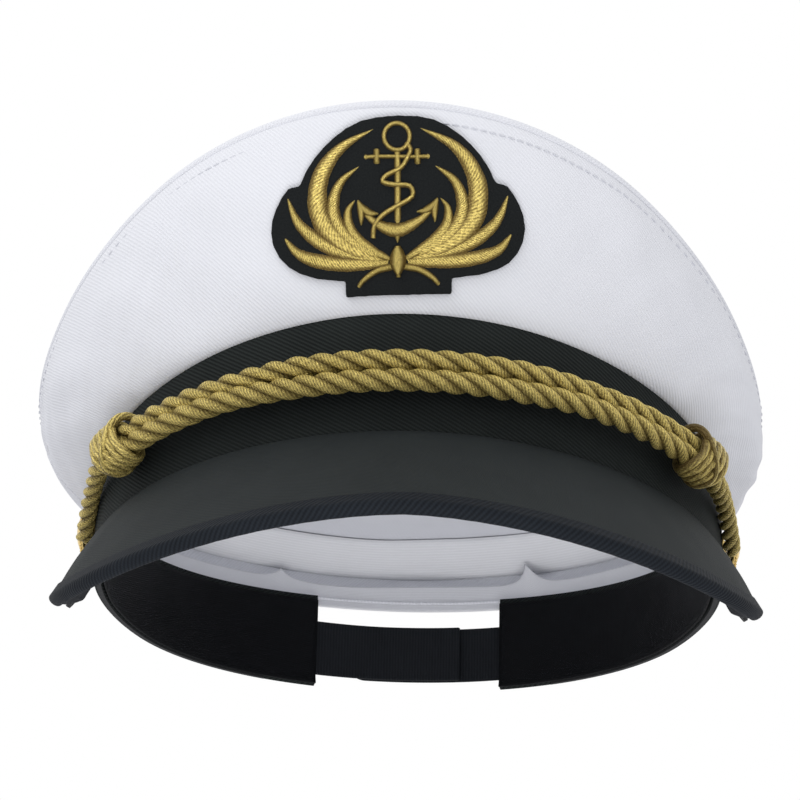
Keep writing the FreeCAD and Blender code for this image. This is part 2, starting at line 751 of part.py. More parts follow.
def loft(sections):
    return Part.makeLoft(sections, True, False)


def wall_layer(label, first, last, low_share, high_share, inner, outer):
    sections = [wall_section(turn, low_share, high_share, inner, outer) for turn in turns(first, last)]
    feature(label, loft(sections))


TWILL = size("twill_thick")
GAP = size("sewing_gap")
BUCKRAM = size("buckram_thick")
wall_layer("crown_front_panel", -90, 90, 0, 1, -TWILL, 0)
wall_layer("crown_back_panel", 90.2, 269.8, 0, 1, -TWILL, 0)
tape_outside = -TWILL - 11 * GAP
wall_layer("seam_tape", 1 - 180, 179, 0.01, 0.18, tape_outside - size("tape_thick"), tape_outside)
stiff_angle = size("buckram_half_angle")
wall_layer("front_buckram", -stiff_angle, stiff_angle, 0.22, 0.83, tape_outside - BUCKRAM, tape_outside)


def edge_strip(label, first, last, inner, outer, low, high):
    """A strip of rectangular section that follows the crown's top edge."""
    sections = []
    for turn in turns(first, last):
        point, normal = hoop_point(turn)
        point.z = crown_height(point.y)
        corners = [
            point + normal * across + Vector(0, 0, up)
            for across, up in ((inner, low), (outer, low), (outer, high), (inner, high))
        ]
        sections.append(Part.makePolygon(corners + corners[:1]))
    feature(label, loft(sections))


welt_out = size("welt_width") / 3
edge_strip("crown_welt", -179.9, 179.9, welt_out - size("welt_width"), welt_out, GAP, size("welt_height"))
hoop_outside = -size("hoop_strip_inset")
hoop_top = -size("hoop_strip_drop")
edge_strip(
    "crown_hoop",
    -179,
    179,
    hoop_outside - size("hoop_strip_width"),
    hoop_outside,
    hoop_top - size("hoop_strip_height"),
    hoop_top,
)


def top_panel():
    """The top panel: a sheet bent over the knee, cut to the oval inside the side wall."""
    body = new_body("crown_top_sheet")
    sketch = new_sketch(body, "YZ_Plane", "SheetEdge")
    overrun = 1 + size("front_overrun") / size("hoop_half_length")
    back = KNEE + (BACK_TOP - KNEE) * overrun
    front = KNEE + (FRONT_TOP - KNEE) * overrun
    down = size("twill_thick")
    outline = []
    for level in (0, -down):
        path = [back, KNEE_START, KNEE_END, front]
        path = [Vector(p.y, p.z + level, 0) for p in path]
        hub = Vector(KNEE_HUB.y, KNEE_HUB.z + level, 0)
        middle = hub + (path[1] + path[2] - hub * 2).normalize() * size("knee_radius")
        curve = Part.Arc(path[1], middle, path[2])
        outline.append((Part.LineSegment(path[0], path[1]), curve, Part.LineSegment(path[2], path[3])))
    upper, lower = outline
    for piece in upper + lower:
        sketch.addGeometry(piece)
    sketch.addGeometry(Part.LineSegment(upper[0].StartPoint, lower[0].StartPoint))
    sketch.addGeometry(Part.LineSegment(upper[2].EndPoint, lower[2].EndPoint))
    pad(body, sketch, "2 * hoop_half_width + front_overrun", midplane=True)
    prism = new_body("crown_top_outline")
    oval = new_sketch(prism, "XY_Plane", "HalfOval")
    shift = f"({HOOP_SIDE_RADIUS} - hoop_half_width)"
    front_arc, back_arc = half_oval(oval, "hoop_end_radius - 2 * twill_thick", HOOP_CENTRE, shift)
    join_ends(oval, front_arc, 1, back_arc, 2)
    mirror_in_yz(prism, pad(prism, oval, "crown_height_front + front_overrun"))
    prism.setExpression("Placement.Base.x", linked("-crown_lean"))
    common = doc.addObject("Part::Common", "Common_crown_top_panel")
    common.Base = body
    common.Tool = prism
    keep(common, "crown_top_panel")


top_panel()


def visor_slope(turn):
    return math.radians(size("visor_slope") + size("visor_steepening") * abs(math.sin(turn)) ** 1.5)


def visor_reach(turn):
    return size("visor_reach") * (1 - abs(turn / (math.pi / 2)) ** 2.9)


def visor_frame(turn):
    """Seam point on the band, direction down the visor, and the visor's upward normal."""
    point, normal = band_point(turn)
    point.z = rim_height(point.y) + size("seam_above_rim")
    slope = visor_slope(turn)
    down = normal * math.cos(slope) - Vector(0, 0, math.sin(slope))
    upward = normal * math.sin(slope) + Vector(0, 0, math.cos(slope))
    return point + normal * size("sewing_gap"), down, upward, slope


def visor_layer(label, low, high):
    """A layer of the visor, with its inner edge upright against the band."""
    half = size("visor_half_angle")
    sections = []
    for turn in turns(-half, half, 3):
        seam, down, upward, slope = visor_frame(turn)
        tip = seam + down * visor_reach(turn)
        rise = Vector(0, 0, 1 / math.cos(slope))
        corners = [seam + rise * low, seam + rise * high, tip + upward * high, tip + upward * low]
        sections.append(Part.makePolygon(corners + corners[:1]))
    feature(label, loft(sections))


COVER = size("visor_cover_thick")
BOARD = size("visor_board_thick")
visor_layer("visor_top_cover", -COVER, 0)
visor_layer("visor_board", -COVER - BOARD, -COVER - GAP)
visor_layer("visor_under_cover", -2 * COVER - BOARD, -COVER - BOARD - GAP)


def visor_binding():
    """A binding folded round the visor's free edge: a channel section."""
    half = size("visor_half_angle")
    wall, lap = size("binding_thick"), size("binding_width")
    depth = 2 * COVER + BOARD
    sections = []
    for turn in turns(-half, half, 3):
        seam, down, upward, _ = visor_frame(turn)
        tip = seam + down * visor_reach(turn)
        lap_here = min(lap, visor_reach(turn) * 0.4)
        channel = [
            (-lap_here, 3 * GAP),
            (-lap_here, wall + GAP),
            (wall, wall + GAP),
            (wall, -depth - wall - GAP),
            (-lap_here, -depth - wall - GAP),
            (-lap_here, -depth - 3 * GAP),
            (2 * GAP, -depth - 3 * GAP),
            (2 * GAP, 3 * GAP),
        ]
        corners = [tip + down * along + upward * up for along, up in channel]
        sections.append(Part.makePolygon(corners + corners[:1]))
    feature("visor_binding", loft(sections))


visor_binding()


# ---- Badge: outlines in the front view, cut through layers that lie on the crown's front ----

BADGE_SPAN = 28
BADGE_PLACE = Placement(
    Vector(-size("badge_shift"), -1.2 * size("hoop_half_length"), size("badge_centre_height")),
    Rotation(Vector(0, 1, 0), -size("badge_lean")),
)


def badge_layer(inner, outer):
    sections = [wall_section(turn, 0.02, 0.99, inner, outer) for turn in turns(-BADGE_SPAN, BADGE_SPAN, 7)]
    return loft(sections)


def prism(*wires):
    """Front-view outlines, drawn as (x, height) about the badge's centre, made into a block along Y."""
    face = Part.Face(list(wires))
    face.Placement = BADGE_PLACE
    return face.extrude(Vector(0, size("hoop_half_length") / 2, 0))


def ribbon(points, width, pieces=18):
    """Blocks of one width along a smooth centre line of the front view."""
    curve = Part.BSplineCurve()
    curve.interpolate([Vector(x, 0, z) for x, z in points])
    first, last = curve.FirstParameter, curve.LastParameter
    spots = [curve.value(first + (last - first) * i / pieces) for i in range(pieces + 1)]
    blocks = [prism(disc(spot.x, spot.z, width / 2)) for spot in spots]
    for a, b in zip(spots, spots[1:]):
        along = (b - a).normalize() * (width / 2)
        across = Vector(-along.z, 0, along.x)
        corners = [a + across, b + across, b - across, a - across]
        blocks.append(prism(Part.makePolygon(corners + corners[:1])))
    return fused(blocks)


def straight(points):
    corners = [Vector(x, 0, z) for x, z in points]
    return Part.makePolygon(corners + corners[:1])


def disc(x, z, radius):
    return Part.Wire([Part.makeCircle(radius, Vector(x, 0, z), Vector(0, -1, 0))])


def crescent(root, tip, outer_bow, inner_bow):
    """A laurel leaf from root to tip, bowed outwards: one arc each side, both bows in millimetres."""
    start, end = Vector(root[0], 0, root[1]), Vector(tip[0], 0, tip[1])
    chord = (end - start).normalize()
    across = Vector(-chord.z, 0, chord.x)
    middle = (start + end) / 2
    outer = Part.Arc(start, middle + across * outer_bow, end).toShape()
    inner = Part.Arc(end, middle + across * inner_bow, start).toShape()
    return Part.Wire([outer, inner])


def mirrored(points):
    return [(-x, z) for x, z in reversed(points)]


def fused(shapes):
    first, *rest = shapes
    return first.multiFuse(rest).removeSplitter() if rest else first


FELT = size("felt_thick")
THREAD = size("thread_thick")
felt_layer = badge_layer(GAP, FELT)
thread_layer = badge_layer(FELT, FELT + THREAD)

PATCH_LOBE = [(9, 20.2), (15, 17), (20.2, 12.2), (24, 5.6)]
PATCH_SHOULDER = [(26.6, 5.6), (29.6, 1.4), (31, -3.8), (29.4, -10), (24.6, -14.5), (13, -17.2)]
patch_half = PATCH_LOBE + PATCH_SHOULDER
patch_top = Part.Arc(*(Vector(x, 0, z) for x, z in ((-9, 20.2), (0, 21.3), (9, 20.2)))).toShape()
patch_rim = [Vector(x, 0, z) for x, z in patch_half + mirrored(patch_half)]
patch_lines = Part.makePolygon(patch_rim).Edges
tab = straight([(-12.9, -16), (12.9, -16), (12.9, -20.5), (-12.9, -20.5)])
patch = fused([prism(Part.Wire(Part.sortEdges(patch_lines + [patch_top])[0])), prism(tab)])
feature("badge_patch", felt_layer.common(patch))

RING_HEIGHT, RING_RADIUS, RING_WIDTH = 16.2, 3.2, 1.3
ring_block = prism(disc(0, RING_HEIGHT, RING_RADIUS + RING_WIDTH / 2)).cut(
    prism(disc(0, RING_HEIGHT, RING_RADIUS - RING_WIDTH / 2))
)
shank_bar = straight([(-0.8, 13.4), (0.8, 13.4), (0.9, -4.5), (-0.9, -4.5)])
stock = straight([(-8.2, 10.9), (8.2, 10.9), (8.2, 12), (-8.2, 12)])
knobs = [straight([(x - 0.9, 9.7), (x + 0.9, 9.7), (x + 0.9, 13.2), (x - 0.9, 13.2)]) for x in (-5, 5)]
arms = straight([(-7.6, -1.8), (-4, -3.9), (0, -4.4), (4, -3.9), (7.6, -1.8), (4.4, -5.6), (0, -7.6), (-4.4, -5.6)])
fluke = [(9.6, 1.2), (9, -4), (7.2, -2.6), (4.8, -1.9)]
anchor_wires = [shank_bar, stock, *knobs, arms, straight(fluke), straight(mirrored(fluke))]
anchor = thread_layer.common(fused([ring_block] + [prism(w) for w in anchor_wires]))
feature("badge_anchor", anchor)
ROPE_LINE = [
    (3.1, 14), (2.6, 10), (-0.2, 7.5), (-3.3, 4.9), (-0.2, 3.6), (3.5, 2.9), (1.2, 0.1), (-0.7, -0.8), (-3.4, -2.6)
]
rope_layer = badge_layer(FELT, FELT + 1.5 * THREAD)
feature("badge_anchor_rope", rope_layer.common(ribbon(ROPE_LINE, 1.3)).cut(anchor))

LEAVES = [
    ((4, -12.5), (5.2, 17.6), 17, 11.6),
    ((4, -12), (9.2, 8.8), 10, 6.4),
    ((3, -12), (10.4, 1), 5.6, 2.8),
    ((7, -13), (26.6, 3.2), 6.6, 3.2),
    ((3, -13.6), (27.8, -5.8), 5.4, 2.2),
]
for side, hand in ((-1, "right"), (1, "left")):
    outlines = [
        crescent((side * root[0], root[1]), (side * tip[0], tip[1]), -side * outer, -side * inner)
        for root, tip, outer, inner in LEAVES
    ]
    feature(f"badge_laurel_{hand}", thread_layer.common(fused([prism(wire) for wire in outlines])))

stem = [(1.5, -13), (9.2, -17.2), (9.8, -18.2), (8.4, -18.4), (1.5, -15)]
knot = disc(0, -12.8, 2.4)
tie_blocks = [prism(w) for w in (knot, straight(stem), straight(mirrored(stem)))]
laurels = fused([parts[f"badge_laurel_{hand}"].Shape for hand in ("right", "left")])
feature("badge_tie", thread_layer.common(fused(tie_blocks)).cut(laurels))

doc.recompute()


# ---- Checks and export ----

for item in doc.Objects:
    if {"Invalid", "Error"} & set(item.State):
        raise RuntimeError(f"{item.Label} failed: {item.State}")
os.makedirs("parts", exist_ok=True)
for label, item in sorted(parts.items()):
    shape = item.Shape
    if shape.isNull() or not shape.isValid() or shape.Volume <= 0 or not shape.Solids:
        raise RuntimeError(f"{label} has no valid solid")
    shape.exportStep(f"parts/{label}.step")
    box = shape.BoundBox
    print(f"{label:22s} solids {len(shape.Solids)} volume {shape.Volume:9.1f}"
          f" x {box.XMin:7.1f} {box.XMax:7.1f} y {box.YMin:7.1f} {box.YMax:7.1f} z {box.ZMin:6.1f} {box.ZMax:6.1f}")
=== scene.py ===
import math

import bmesh
import bpy
from mathutils import Matrix, Vector, noise
from mathutils.bvhtree import BVHTree


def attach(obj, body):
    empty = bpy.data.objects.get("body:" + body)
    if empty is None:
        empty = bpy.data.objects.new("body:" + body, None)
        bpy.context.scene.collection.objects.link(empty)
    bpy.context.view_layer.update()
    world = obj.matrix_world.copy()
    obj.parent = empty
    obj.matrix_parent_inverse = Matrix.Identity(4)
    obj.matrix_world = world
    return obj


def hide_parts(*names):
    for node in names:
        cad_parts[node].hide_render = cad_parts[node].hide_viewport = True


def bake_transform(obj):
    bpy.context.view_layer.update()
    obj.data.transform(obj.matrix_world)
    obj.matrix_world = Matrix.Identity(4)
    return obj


# A peaked captain's cap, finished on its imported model: band, crown, visor, chin cord, buttons,
# strap and badge. Metres; the rim of the head opening is level at z = 0 and the visor points to -Y.
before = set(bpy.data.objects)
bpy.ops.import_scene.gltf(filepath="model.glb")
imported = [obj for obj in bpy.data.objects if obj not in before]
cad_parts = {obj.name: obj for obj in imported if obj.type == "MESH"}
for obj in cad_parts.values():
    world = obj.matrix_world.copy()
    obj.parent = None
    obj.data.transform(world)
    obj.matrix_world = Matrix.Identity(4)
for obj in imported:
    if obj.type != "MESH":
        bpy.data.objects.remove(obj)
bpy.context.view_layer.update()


# ---- Band ----
# A stiff strip covered in black twill, whose cover is turned under at the rim. It runs from one
# edge of the gap at the back round the front to the other, and rises towards the front.


class Wire:
    """A number that varies over a surface: arithmetic on wires adds Math nodes to their finish."""

    def __init__(self, finish, socket):
        self.finish = finish
        self.socket = socket

    def __add__(self, other):
        return self.finish.maths("ADD", self, other)

    def __mul__(self, other):
        return self.finish.maths("MULTIPLY", self, other)

    def __sub__(self, other):
        return self.finish.maths("SUBTRACT", self, other)

    def __rsub__(self, other):
        return self.finish.maths("SUBTRACT", other, self)


class Finish:
    """A material with its main shader, and the one way that its other nodes are added."""

    def __init__(self, name, **sockets):
        self.material = bpy.data.materials.new(name)
        self.material.use_nodes = True
        self.tree = self.material.node_tree
        self.shader = self.tree.nodes["Principled BSDF"]
        for socket, value in sockets.items():
            self.shader.inputs[socket.replace("_", " ")].default_value = value

    def node(self, kind, settings, inputs, output=0):
        made = self.tree.nodes.new(kind)
        for name, value in settings.items():
            setattr(made, name, value)
        for key, value in inputs.items():
            if isinstance(value, Wire):
                self.tree.links.new(value.socket, made.inputs[key])
            else:
                made.inputs[key].default_value = value
        return Wire(self, made.outputs[output])

    def maths(self, operation, *values):
        return self.node("ShaderNodeMath", {"operation": operation}, dict(enumerate(values)))

    def pattern_place(self):
        """Both distances of the cloth's own map, in metres."""
        place = self.node("ShaderNodeUVMap", {"uv_map": "Cloth"}, {})
        return [self.node("ShaderNodeSeparateXYZ", {}, {0: place}, axis) for axis in (0, 1)] + [place]

    def solid_place(self):
        """The place within the piece itself, for a finish with no cloth map."""
        return self.node("ShaderNodeTexCoord", {}, {}, 3)

    def speckle(self, place, scale, detail=2):
        return self.node("ShaderNodeTexNoise", {}, {"Vector": place, "Scale": scale, "Detail": detail})

    def colour(self, mask, low, high):
        mix = self.node("ShaderNodeMix", {"data_type": "RGBA"}, {0: mask, 6: (*low, 1), 7: (*high, 1)}, 2)
        self.feed("Base Color", mix)

    def relief(self, height, depth):
        bump = self.node("ShaderNodeBump", {}, {"Height": height, "Distance": depth, "Strength": 1.0})
        self.feed("Normal", bump)

    def feed(self, socket, wire):
        self.tree.links.new(wire.socket, self.shader.inputs[socket])


def twill(name, low, high, pitch, across, up, depth, rough):
    """A diagonal weave: ridges square to (across, up), crossed by the finer threads that cover them."""
    finish = Finish(name, Roughness=rough, Specular_IOR_Level=0.12)
    s, t, place = finish.pattern_place()
    slub = finish.speckle(place, 900, 3)
    ridge = finish.maths("SINE", (s * across + t * up) * (math.tau / pitch) + slub * 1.2) * 0.5 + 0.5
    thread = finish.maths("SINE", (t * across - s * up) * (math.tau / pitch * 1.7) + slub * 2.5) * 0.5 + 0.5
    weave = ridge * 0.8 + thread * 0.2
    blotch = finish.speckle(place, 60)
    finish.colour(weave * 0.65 + blotch * 0.35, low, high)
    finish.relief(weave + slub * 0.3, depth)
    return finish


def cloth(name, columns, rows, place):
    """A grid bent to shape: place(s, t) gives a point and its two pattern distances, s and t being 0 to 1."""
    mesh = bmesh.new()
    bmesh.ops.create_grid(mesh, x_segments=columns, y_segments=rows, size=0.5)
    layer = mesh.loops.layers.uv.new("Cloth")
    pattern = {}
    for vert in mesh.verts:
        vert.co, pattern[vert] = place(vert.co.x + 0.5, vert.co.y + 0.5)
    for face in mesh.faces:
        face.smooth = True
        for corner in face.loops:
            corner[layer].uv = pattern[corner.vert]
    bmesh.ops.remove_doubles(mesh, verts=mesh.verts, dist=1e-6)
    return solid(name, mesh)


def solid(name, mesh):
    """Makes an object of the finished bmesh."""
    data = bpy.data.meshes.new(name)
    mesh.to_mesh(data)
    mesh.free()
    piece = bpy.data.objects.new(name, data)
    bpy.context.scene.collection.objects.link(piece)
    return piece


def fit(piece, finish, slot, body, *nodes):
    """Gives a piece its finish and the body it moves with, and hides the CAD nodes it stands for."""
    piece.data.materials.append(finish.material)
    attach(piece, body)
    if nodes:
        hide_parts(*nodes)


def thicken(piece, amount):
    """Gives open cloth its thickness, inwards from the face that is drawn."""
    modifier = piece.modifiers.new("Thickness", "SOLIDIFY")
    modifier.thickness = amount
    modifier.offset = -1


BAND_OVAL = (0.087, 0.103, 0.084)
BAND_END = math.radians(159.1)
BAND_TOP_SIDE = 0.0225
BAND_TOP_SLOPE = 0.0677
RISE_START = 0.007
RIM_ARC = 0.6552
BAND_TOP_ARC = 0.3263
HEM = 0.0012
UP = Vector((0, 0, 1))


def ramp(value):
    """Holds a value between 0 and 1."""
    return max(0.0, min(1.0, value))


def oval(turn, half_width, half_length, end_radius):
    """A point of a four-arc oval and its outward direction, turned by an angle from the front."""
    centre = half_length - end_radius
    side_radius = (half_width**2 + centre**2 - end_radius**2) / (2 * (half_width - end_radius))
    shift = side_radius - half_width
    out = Vector((math.sin(turn), -math.cos(turn), 0))
    if abs(out.x) > math.cos(math.atan2(centre, shift)):
        return Vector((-math.copysign(shift, out.x), 0, 0)) + out * side_radius, out
    return Vector((0, math.copysign(centre, out.y), 0)) + out * end_radius, out


def lift(y, radius):
    """Height of an arc that climbs from the middle of the cap to its front."""
    run = max(0.0, RISE_START - y)
    return radius - math.sqrt(radius**2 - run**2)


def rim_height(y):
    return lift(y, RIM_ARC)


def band_top(y):
    return BAND_TOP_SIDE + lift(y, BAND_TOP_ARC) + max(0.0, y - RISE_START) * BAND_TOP_SLOPE


def on_band(turn, depth, height):
    """A point of the band at a depth inside its outer face."""
    point, out = oval(turn, *BAND_OVAL)
    return point - out * depth + UP * height


def band_section(turn, t):
    """Once round the section: down the outside, under the rim, up the inside, back over the top."""
    y = oval(turn, *BAND_OVAL)[0].y
    low, top = rim_height(y) + HEM, band_top(y) + 0.0008
    outside, under, inside = 0.55, 0.7, 0.9
    if t < outside:
        return on_band(turn, 0, top + (low - top) * t / outside)
    if t < under:
        bend = math.pi * (t - outside) / (under - outside)
        return on_band(turn, HEM * (1 - math.cos(bend)), low - HEM * math.sin(bend))
    if t < inside:
        return on_band(turn, 2 * HEM, low + (top - low) * (t - under) / (inside - under))
    return on_band(turn, 2 * HEM * (1 - t) / (1 - inside), top)


def band_place(s, t):
    turn = BAND_END * (2 * s - 1)
    point = band_section(turn, 1 - t)
    return point, (turn * 0.095, point.z)


def close_ends(piece, turn_outward=False):
    """Fills the open ends of a piece whose section is closed."""
    mesh = bmesh.new()
    mesh.from_mesh(piece.data)
    bmesh.ops.holes_fill(mesh, edges=[e for e in mesh.edges if e.is_boundary], sides=0)
    if turn_outward:
        bmesh.ops.recalc_face_normals(mesh, faces=mesh.faces)
    mesh.to_mesh(piece.data)
    mesh.free()


black_twill = twill(
    "black_twill", low=(0.0015, 0.0025, 0.0025), high=(0.024, 0.029, 0.028),
    pitch=0.00095, across=0.45, up=0.89, depth=0.00016, rough=0.75,
)
band = cloth("band_cover_cloth", 360, 40, band_place)
fit(band, black_twill, "black_twill", "cap", "band_cover")
close_ends(band)


# ---- Sweatband ----
# A smooth dark strip sewn inside the band, which lies against the head. Its lower edge is rolled
# over a cord, just above the rim.


def sweatband_place(s, t):
    turn = BAND_END * (1 - 2 * s)
    y = oval(turn, *BAND_OVAL)[0].y
    low, high = rim_height(y) + 0.0006, band_top(y) - 0.0008
    ripple = 0.0003 * noise.noise(Vector((turn * 8, t * 2, 3)))
    roll = 0.0005 * math.exp(-((t / 0.04) ** 2))
    height = low + (high - low) * t
    return on_band(turn, 0.0030 + ripple + roll, height), (turn * 0.095, height)


sweat_cloth = twill(
    "sweatband_cloth", low=(0.0004, 0.0006, 0.0009), high=(0.0018, 0.0024, 0.004),
    pitch=0.0006, across=0.3, up=0.95, depth=0.00006, rough=0.6,
)
sweatband = cloth("sweatband_cloth", 240, 24, sweatband_place)
thicken(sweatband, 0.0006)
fit(sweatband, sweat_cloth, "black_webbing", "cap", "sweatband")


# ---- Crown wall ----
# Two panels of white twill, seamed at the sides, that flare from the band up to the top edge. The
# cloth rolls over the band below, and hangs a little slack between there and the hoop above.


HOOP_OVAL = (0.1012, 0.119, 0.088)
CROWN_LEAN = 0.0032
KNEE_HEIGHT = 0.048
KNEE_Y = -0.026
KNEE_ARC = 0.15
KNEE_BACK, KNEE_FRONT = 0.0055, -0.0551
HALF_TURN = math.pi / 2
WALL_CLOTH = 0.0010


def crown_height(y):
    """Height of the crown's top edge: almost level at the back, then a bend and a climb to the front."""
    if y > KNEE_BACK:
        return KNEE_HEIGHT + (y - KNEE_Y) * 0.0207
    if y < KNEE_FRONT:
        peak = 0.0030 * ((KNEE_FRONT - y) / 0.055) ** 2
        return KNEE_HEIGHT - (y - KNEE_Y) * 0.4151 + peak
    return 0.19862 - math.sqrt(KNEE_ARC**2 - (y - 0.0024) ** 2)


def crown_edge(turn):
    """A point of the top edge, which is shifted to the wearer's right, and its outward direction."""
    point, out = oval(turn, *HOOP_OVAL)
    return Vector((point.x - CROWN_LEAN, point.y, crown_height(point.y))), out


def crown_wall(turn, share, out=0.0):
    """A point of the wall: share runs from the band to the top edge."""
    low, side = oval(turn, *BAND_OVAL)
    low.z = band_top(low.y)
    bulge = 0.0008 + 0.0027 * abs(math.sin(turn))
    return low.lerp(crown_edge(turn)[0], share) + side * (out + bulge * 4 * share * (1 - share))


def slack(turn, share):
    """How far the cloth stands out: soft hollows, slanting pulls, and the foot rolled over the band."""
    free = 4 * share * (1 - share)
    hollow = noise.noise(Vector((turn * 2.2, share * 1.3, 5.2))) * 0.0026
    pull = noise.noise(Vector((turn * 6 + share * 2.5, share * 1.6 - turn, 1.7))) * 0.0011
    sides = abs(math.sin(turn)) ** 3
    crease = noise.noise(Vector((turn * 13 - share * 5, share * 2.2, 9.1))) * 0.0009 * sides
    foot = 0.0014 * (1 - math.exp(-share / 0.035)) - 0.0004
    return free * (hollow + pull + crease) + foot - 0.0006 * math.exp(-(1 - share) / 0.02)


def side_seam(turn):
    """The wall dips where its two panels are sewn together."""
    return -0.0007 * math.exp(-(((abs(turn) - HALF_TURN) / 0.012) ** 2))


def wall_panel(name, first, last, node):
    """One panel of the wall, from one side seam to the other."""

    def place(s, t):
        turn = first + (last - first) * s
        point = crown_wall(turn, t, slack(turn, t) + side_seam(turn))
        return point, (turn * 0.1, point.z)

    panel = cloth(name, 300, 44, place)
    thicken(panel, WALL_CLOTH)
    fit(panel, white_twill, "white_twill", "cap", node)
    return panel


white_twill = twill(
    "white_twill", low=(0.69, 0.70, 0.74), high=(0.785, 0.795, 0.84),
    pitch=0.00085, across=0.64, up=0.77, depth=0.00008, rough=0.85,
)
front_panel = wall_panel("crown_front_cloth", -HALF_TURN, HALF_TURN, "crown_front_panel")
back_panel = wall_panel("crown_back_cloth", HALF_TURN, 3 * HALF_TURN, "crown_back_panel")


# ---- Crown top ----
# An oval of the same twill, laid over the hoop. It follows the bend of the top edge, stands up
# slightly in the middle and carries a few soft creases.


SEAM = 0.0006


def top_place(s, t):
    turn = math.tau * s
    edge, out = crown_edge(turn)
    edge -= out * SEAM
    middle = Vector((-CROWN_LEAN, 0, 0))
    point = middle.lerp(edge, t)
    free = 1 - t**4
    crease = noise.noise(Vector((point.x * 22, point.y * 16, 2.4))) * 0.0022
    ripple = noise.noise(Vector((point.x * 60, point.y * 35, 7.7))) * 0.0007
    point.z = crown_height(point.y) + SEAM + free * (0.0022 + crease + ripple)
    return point, (point.x, point.y)


crown_top = cloth("crown_top_cloth", 240, 60, top_place)
thicken(crown_top, WALL_CLOTH)
fit(crown_top, white_twill, "white_twill", "cap", "crown_top_panel")


# ---- Welt and top stitching ----
# Where the top meets the wall, the two are seamed over a thin cord. A row of stitches holds the
# seam's turnings flat, three millimetres down the wall.


WELT_LENGTH = 0.7
STITCHES = 236
STITCH_SHARE = 1 - 0.0033 / 0.04
STITCH_SIZE = (0.0011, 0.00018, 0.00018)


def tube(name, along, around, path, length):
    """A tube on a closed path: path(s) gives its centre, two directions across and its radius."""

    def place(s, t):
        centre, across, upward, radius = path(s)
        angle = math.tau * t
        point = centre + across * (radius * math.cos(angle)) - upward * (radius * math.sin(angle))
        return point, (s * length, t * math.tau * radius)

    return cloth(name, along, around, place)


def welt_path(s):
    edge, out = crown_edge(math.tau * s)
    return edge + UP * SEAM - out * 0.0002, out, UP, 0.00115


welt = tube("crown_welt_cord", 360, 10, welt_path, WELT_LENGTH)
fit(welt, white_twill, "white_twill", "cap", "crown_welt")

stitches = bmesh.new()
for i in range(STITCHES):
    turn = math.tau * (i + 0.5) / STITCHES
    out = slack(turn, 0.92) + 0.0001
    spot = crown_wall(turn, STITCH_SHARE, out)
    ahead = crown_wall(turn + 0.01, STITCH_SHARE, out) - spot
    turned = ahead.to_track_quat("X", "Z").to_matrix().to_4x4()
    shape = Matrix.Translation(spot) @ turned @ Matrix.Diagonal((*STITCH_SIZE, 1))
    bmesh.ops.create_icosphere(stitches, subdivisions=1, radius=1, matrix=shape)
top_stitching = solid("crown_top_stitching", stitches)
thread = Finish("white_thread", Base_Color=(0.60, 0.61, 0.66, 1), Roughness=0.6)
fit(top_stitching, thread, "white_twill", "cap")


# ---- Inside of the crown ----
# White tape covers the seam between crown and band, and the turnings of the crown stand above it in
# loose pleats. Stiff buckram backs the front, and a plastic hoop holds the top edge open.


PLEAT_TURN = 2.64
HEM_TURN = 2.71


def tape_place(s, t):
    """The tape has a pleat at each end of the back gap, and hangs lower as a hem between them."""
    turn = math.pi - math.tau * s
    pleat = math.exp(-abs(abs(turn) - PLEAT_TURN) / 0.035) * (1.4 if turn > 0 else 0.7)
    wave = noise.noise(Vector((math.cos(turn) * 2.2, math.sin(turn) * 2.2, t * 0.8)))
    hem = 0.13 * ramp((abs(turn) - HEM_TURN) / 0.06)
    share = 0.02 - hem + t * (0.30 + hem + 0.24 * pleat + 0.05 * wave)
    deep = 0.0019 + t * (0.0012 + 0.0030 * pleat) - hem * 0.016 * (1 - t)
    return crown_wall(turn, share, -deep), (turn * 0.09, t * 0.012)


white_tape = twill(
    "white_tape", low=(0.74, 0.745, 0.77), high=(0.84, 0.845, 0.87),
    pitch=0.0008, across=0.0, up=1.0, depth=0.00004, rough=0.85,
)
tape = cloth("seam_tape_cloth", 300, 14, tape_place)
thicken(tape, 0.0005)
fit(tape, white_tape, "white_tape", "cap", "seam_tape")


def casing_place(s, t):
    """A strip of cloth from the top to the wall, which holds the hoop in their corner."""
    turn = math.tau * s
    edge, out = crown_edge(turn)
    high = top_place(s, 0.885)[0] - UP * 0.0005
    share = 1 - 0.0100 / (edge.z - band_top(edge.y))
    low = crown_wall(turn, share, slack(turn, share) - 0.0008)
    soft = (out + UP) * (0.0004 * math.sin(math.pi * t))
    return high.lerp(low, t) - soft, (turn * 0.09, t * 0.013)


casing = cloth("hoop_casing_cloth", 300, 8, casing_place)
thicken(casing, 0.0004)
fit(casing, white_tape, "white_tape", "cap")


def dress(finish, *nodes):
    """Gives CAD nodes that stay as they are a finish of their own."""
    for node in nodes:
        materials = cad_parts[node].data.materials
        materials.clear()
        materials.append(finish.material)


buckram = Finish("buckram", Roughness=0.9)
weave_place = {"Vector": buckram.solid_place(), "Scale": 900}
holes = buckram.node("ShaderNodeTexVoronoi", {"distance": "CHEBYCHEV"}, weave_place)
buckram.colour(holes, (0.66, 0.65, 0.62), (0.45, 0.44, 0.42))
buckram.relief(holes, 0.0002)
dress(buckram, "front_buckram")
hoop_plastic = Finish("hoop_plastic", Base_Color=(0.72, 0.73, 0.75, 1))
scuffs = hoop_plastic.speckle(hoop_plastic.solid_place(), 300)
hoop_plastic.feed("Roughness", scuffs * 0.3 + 0.3)
dress(hoop_plastic, "crown_hoop")


# ---- Visor ----
# A stiff board covered in black twill above and cloth below, sewn to the band on a rising curve. It
# slopes down steeply and more steeply still at its ends, and a binding is folded over its free edge.

VISOR_END = math.radians(84)
VISOR_REACH = 0.047
VISOR_SEAM_OVAL = (0.0871, 0.1031, 0.0841)
VISOR_UNDER = 0.0022
BINDING_LAP = 0.0038
BINDING_HALF = 0.0015


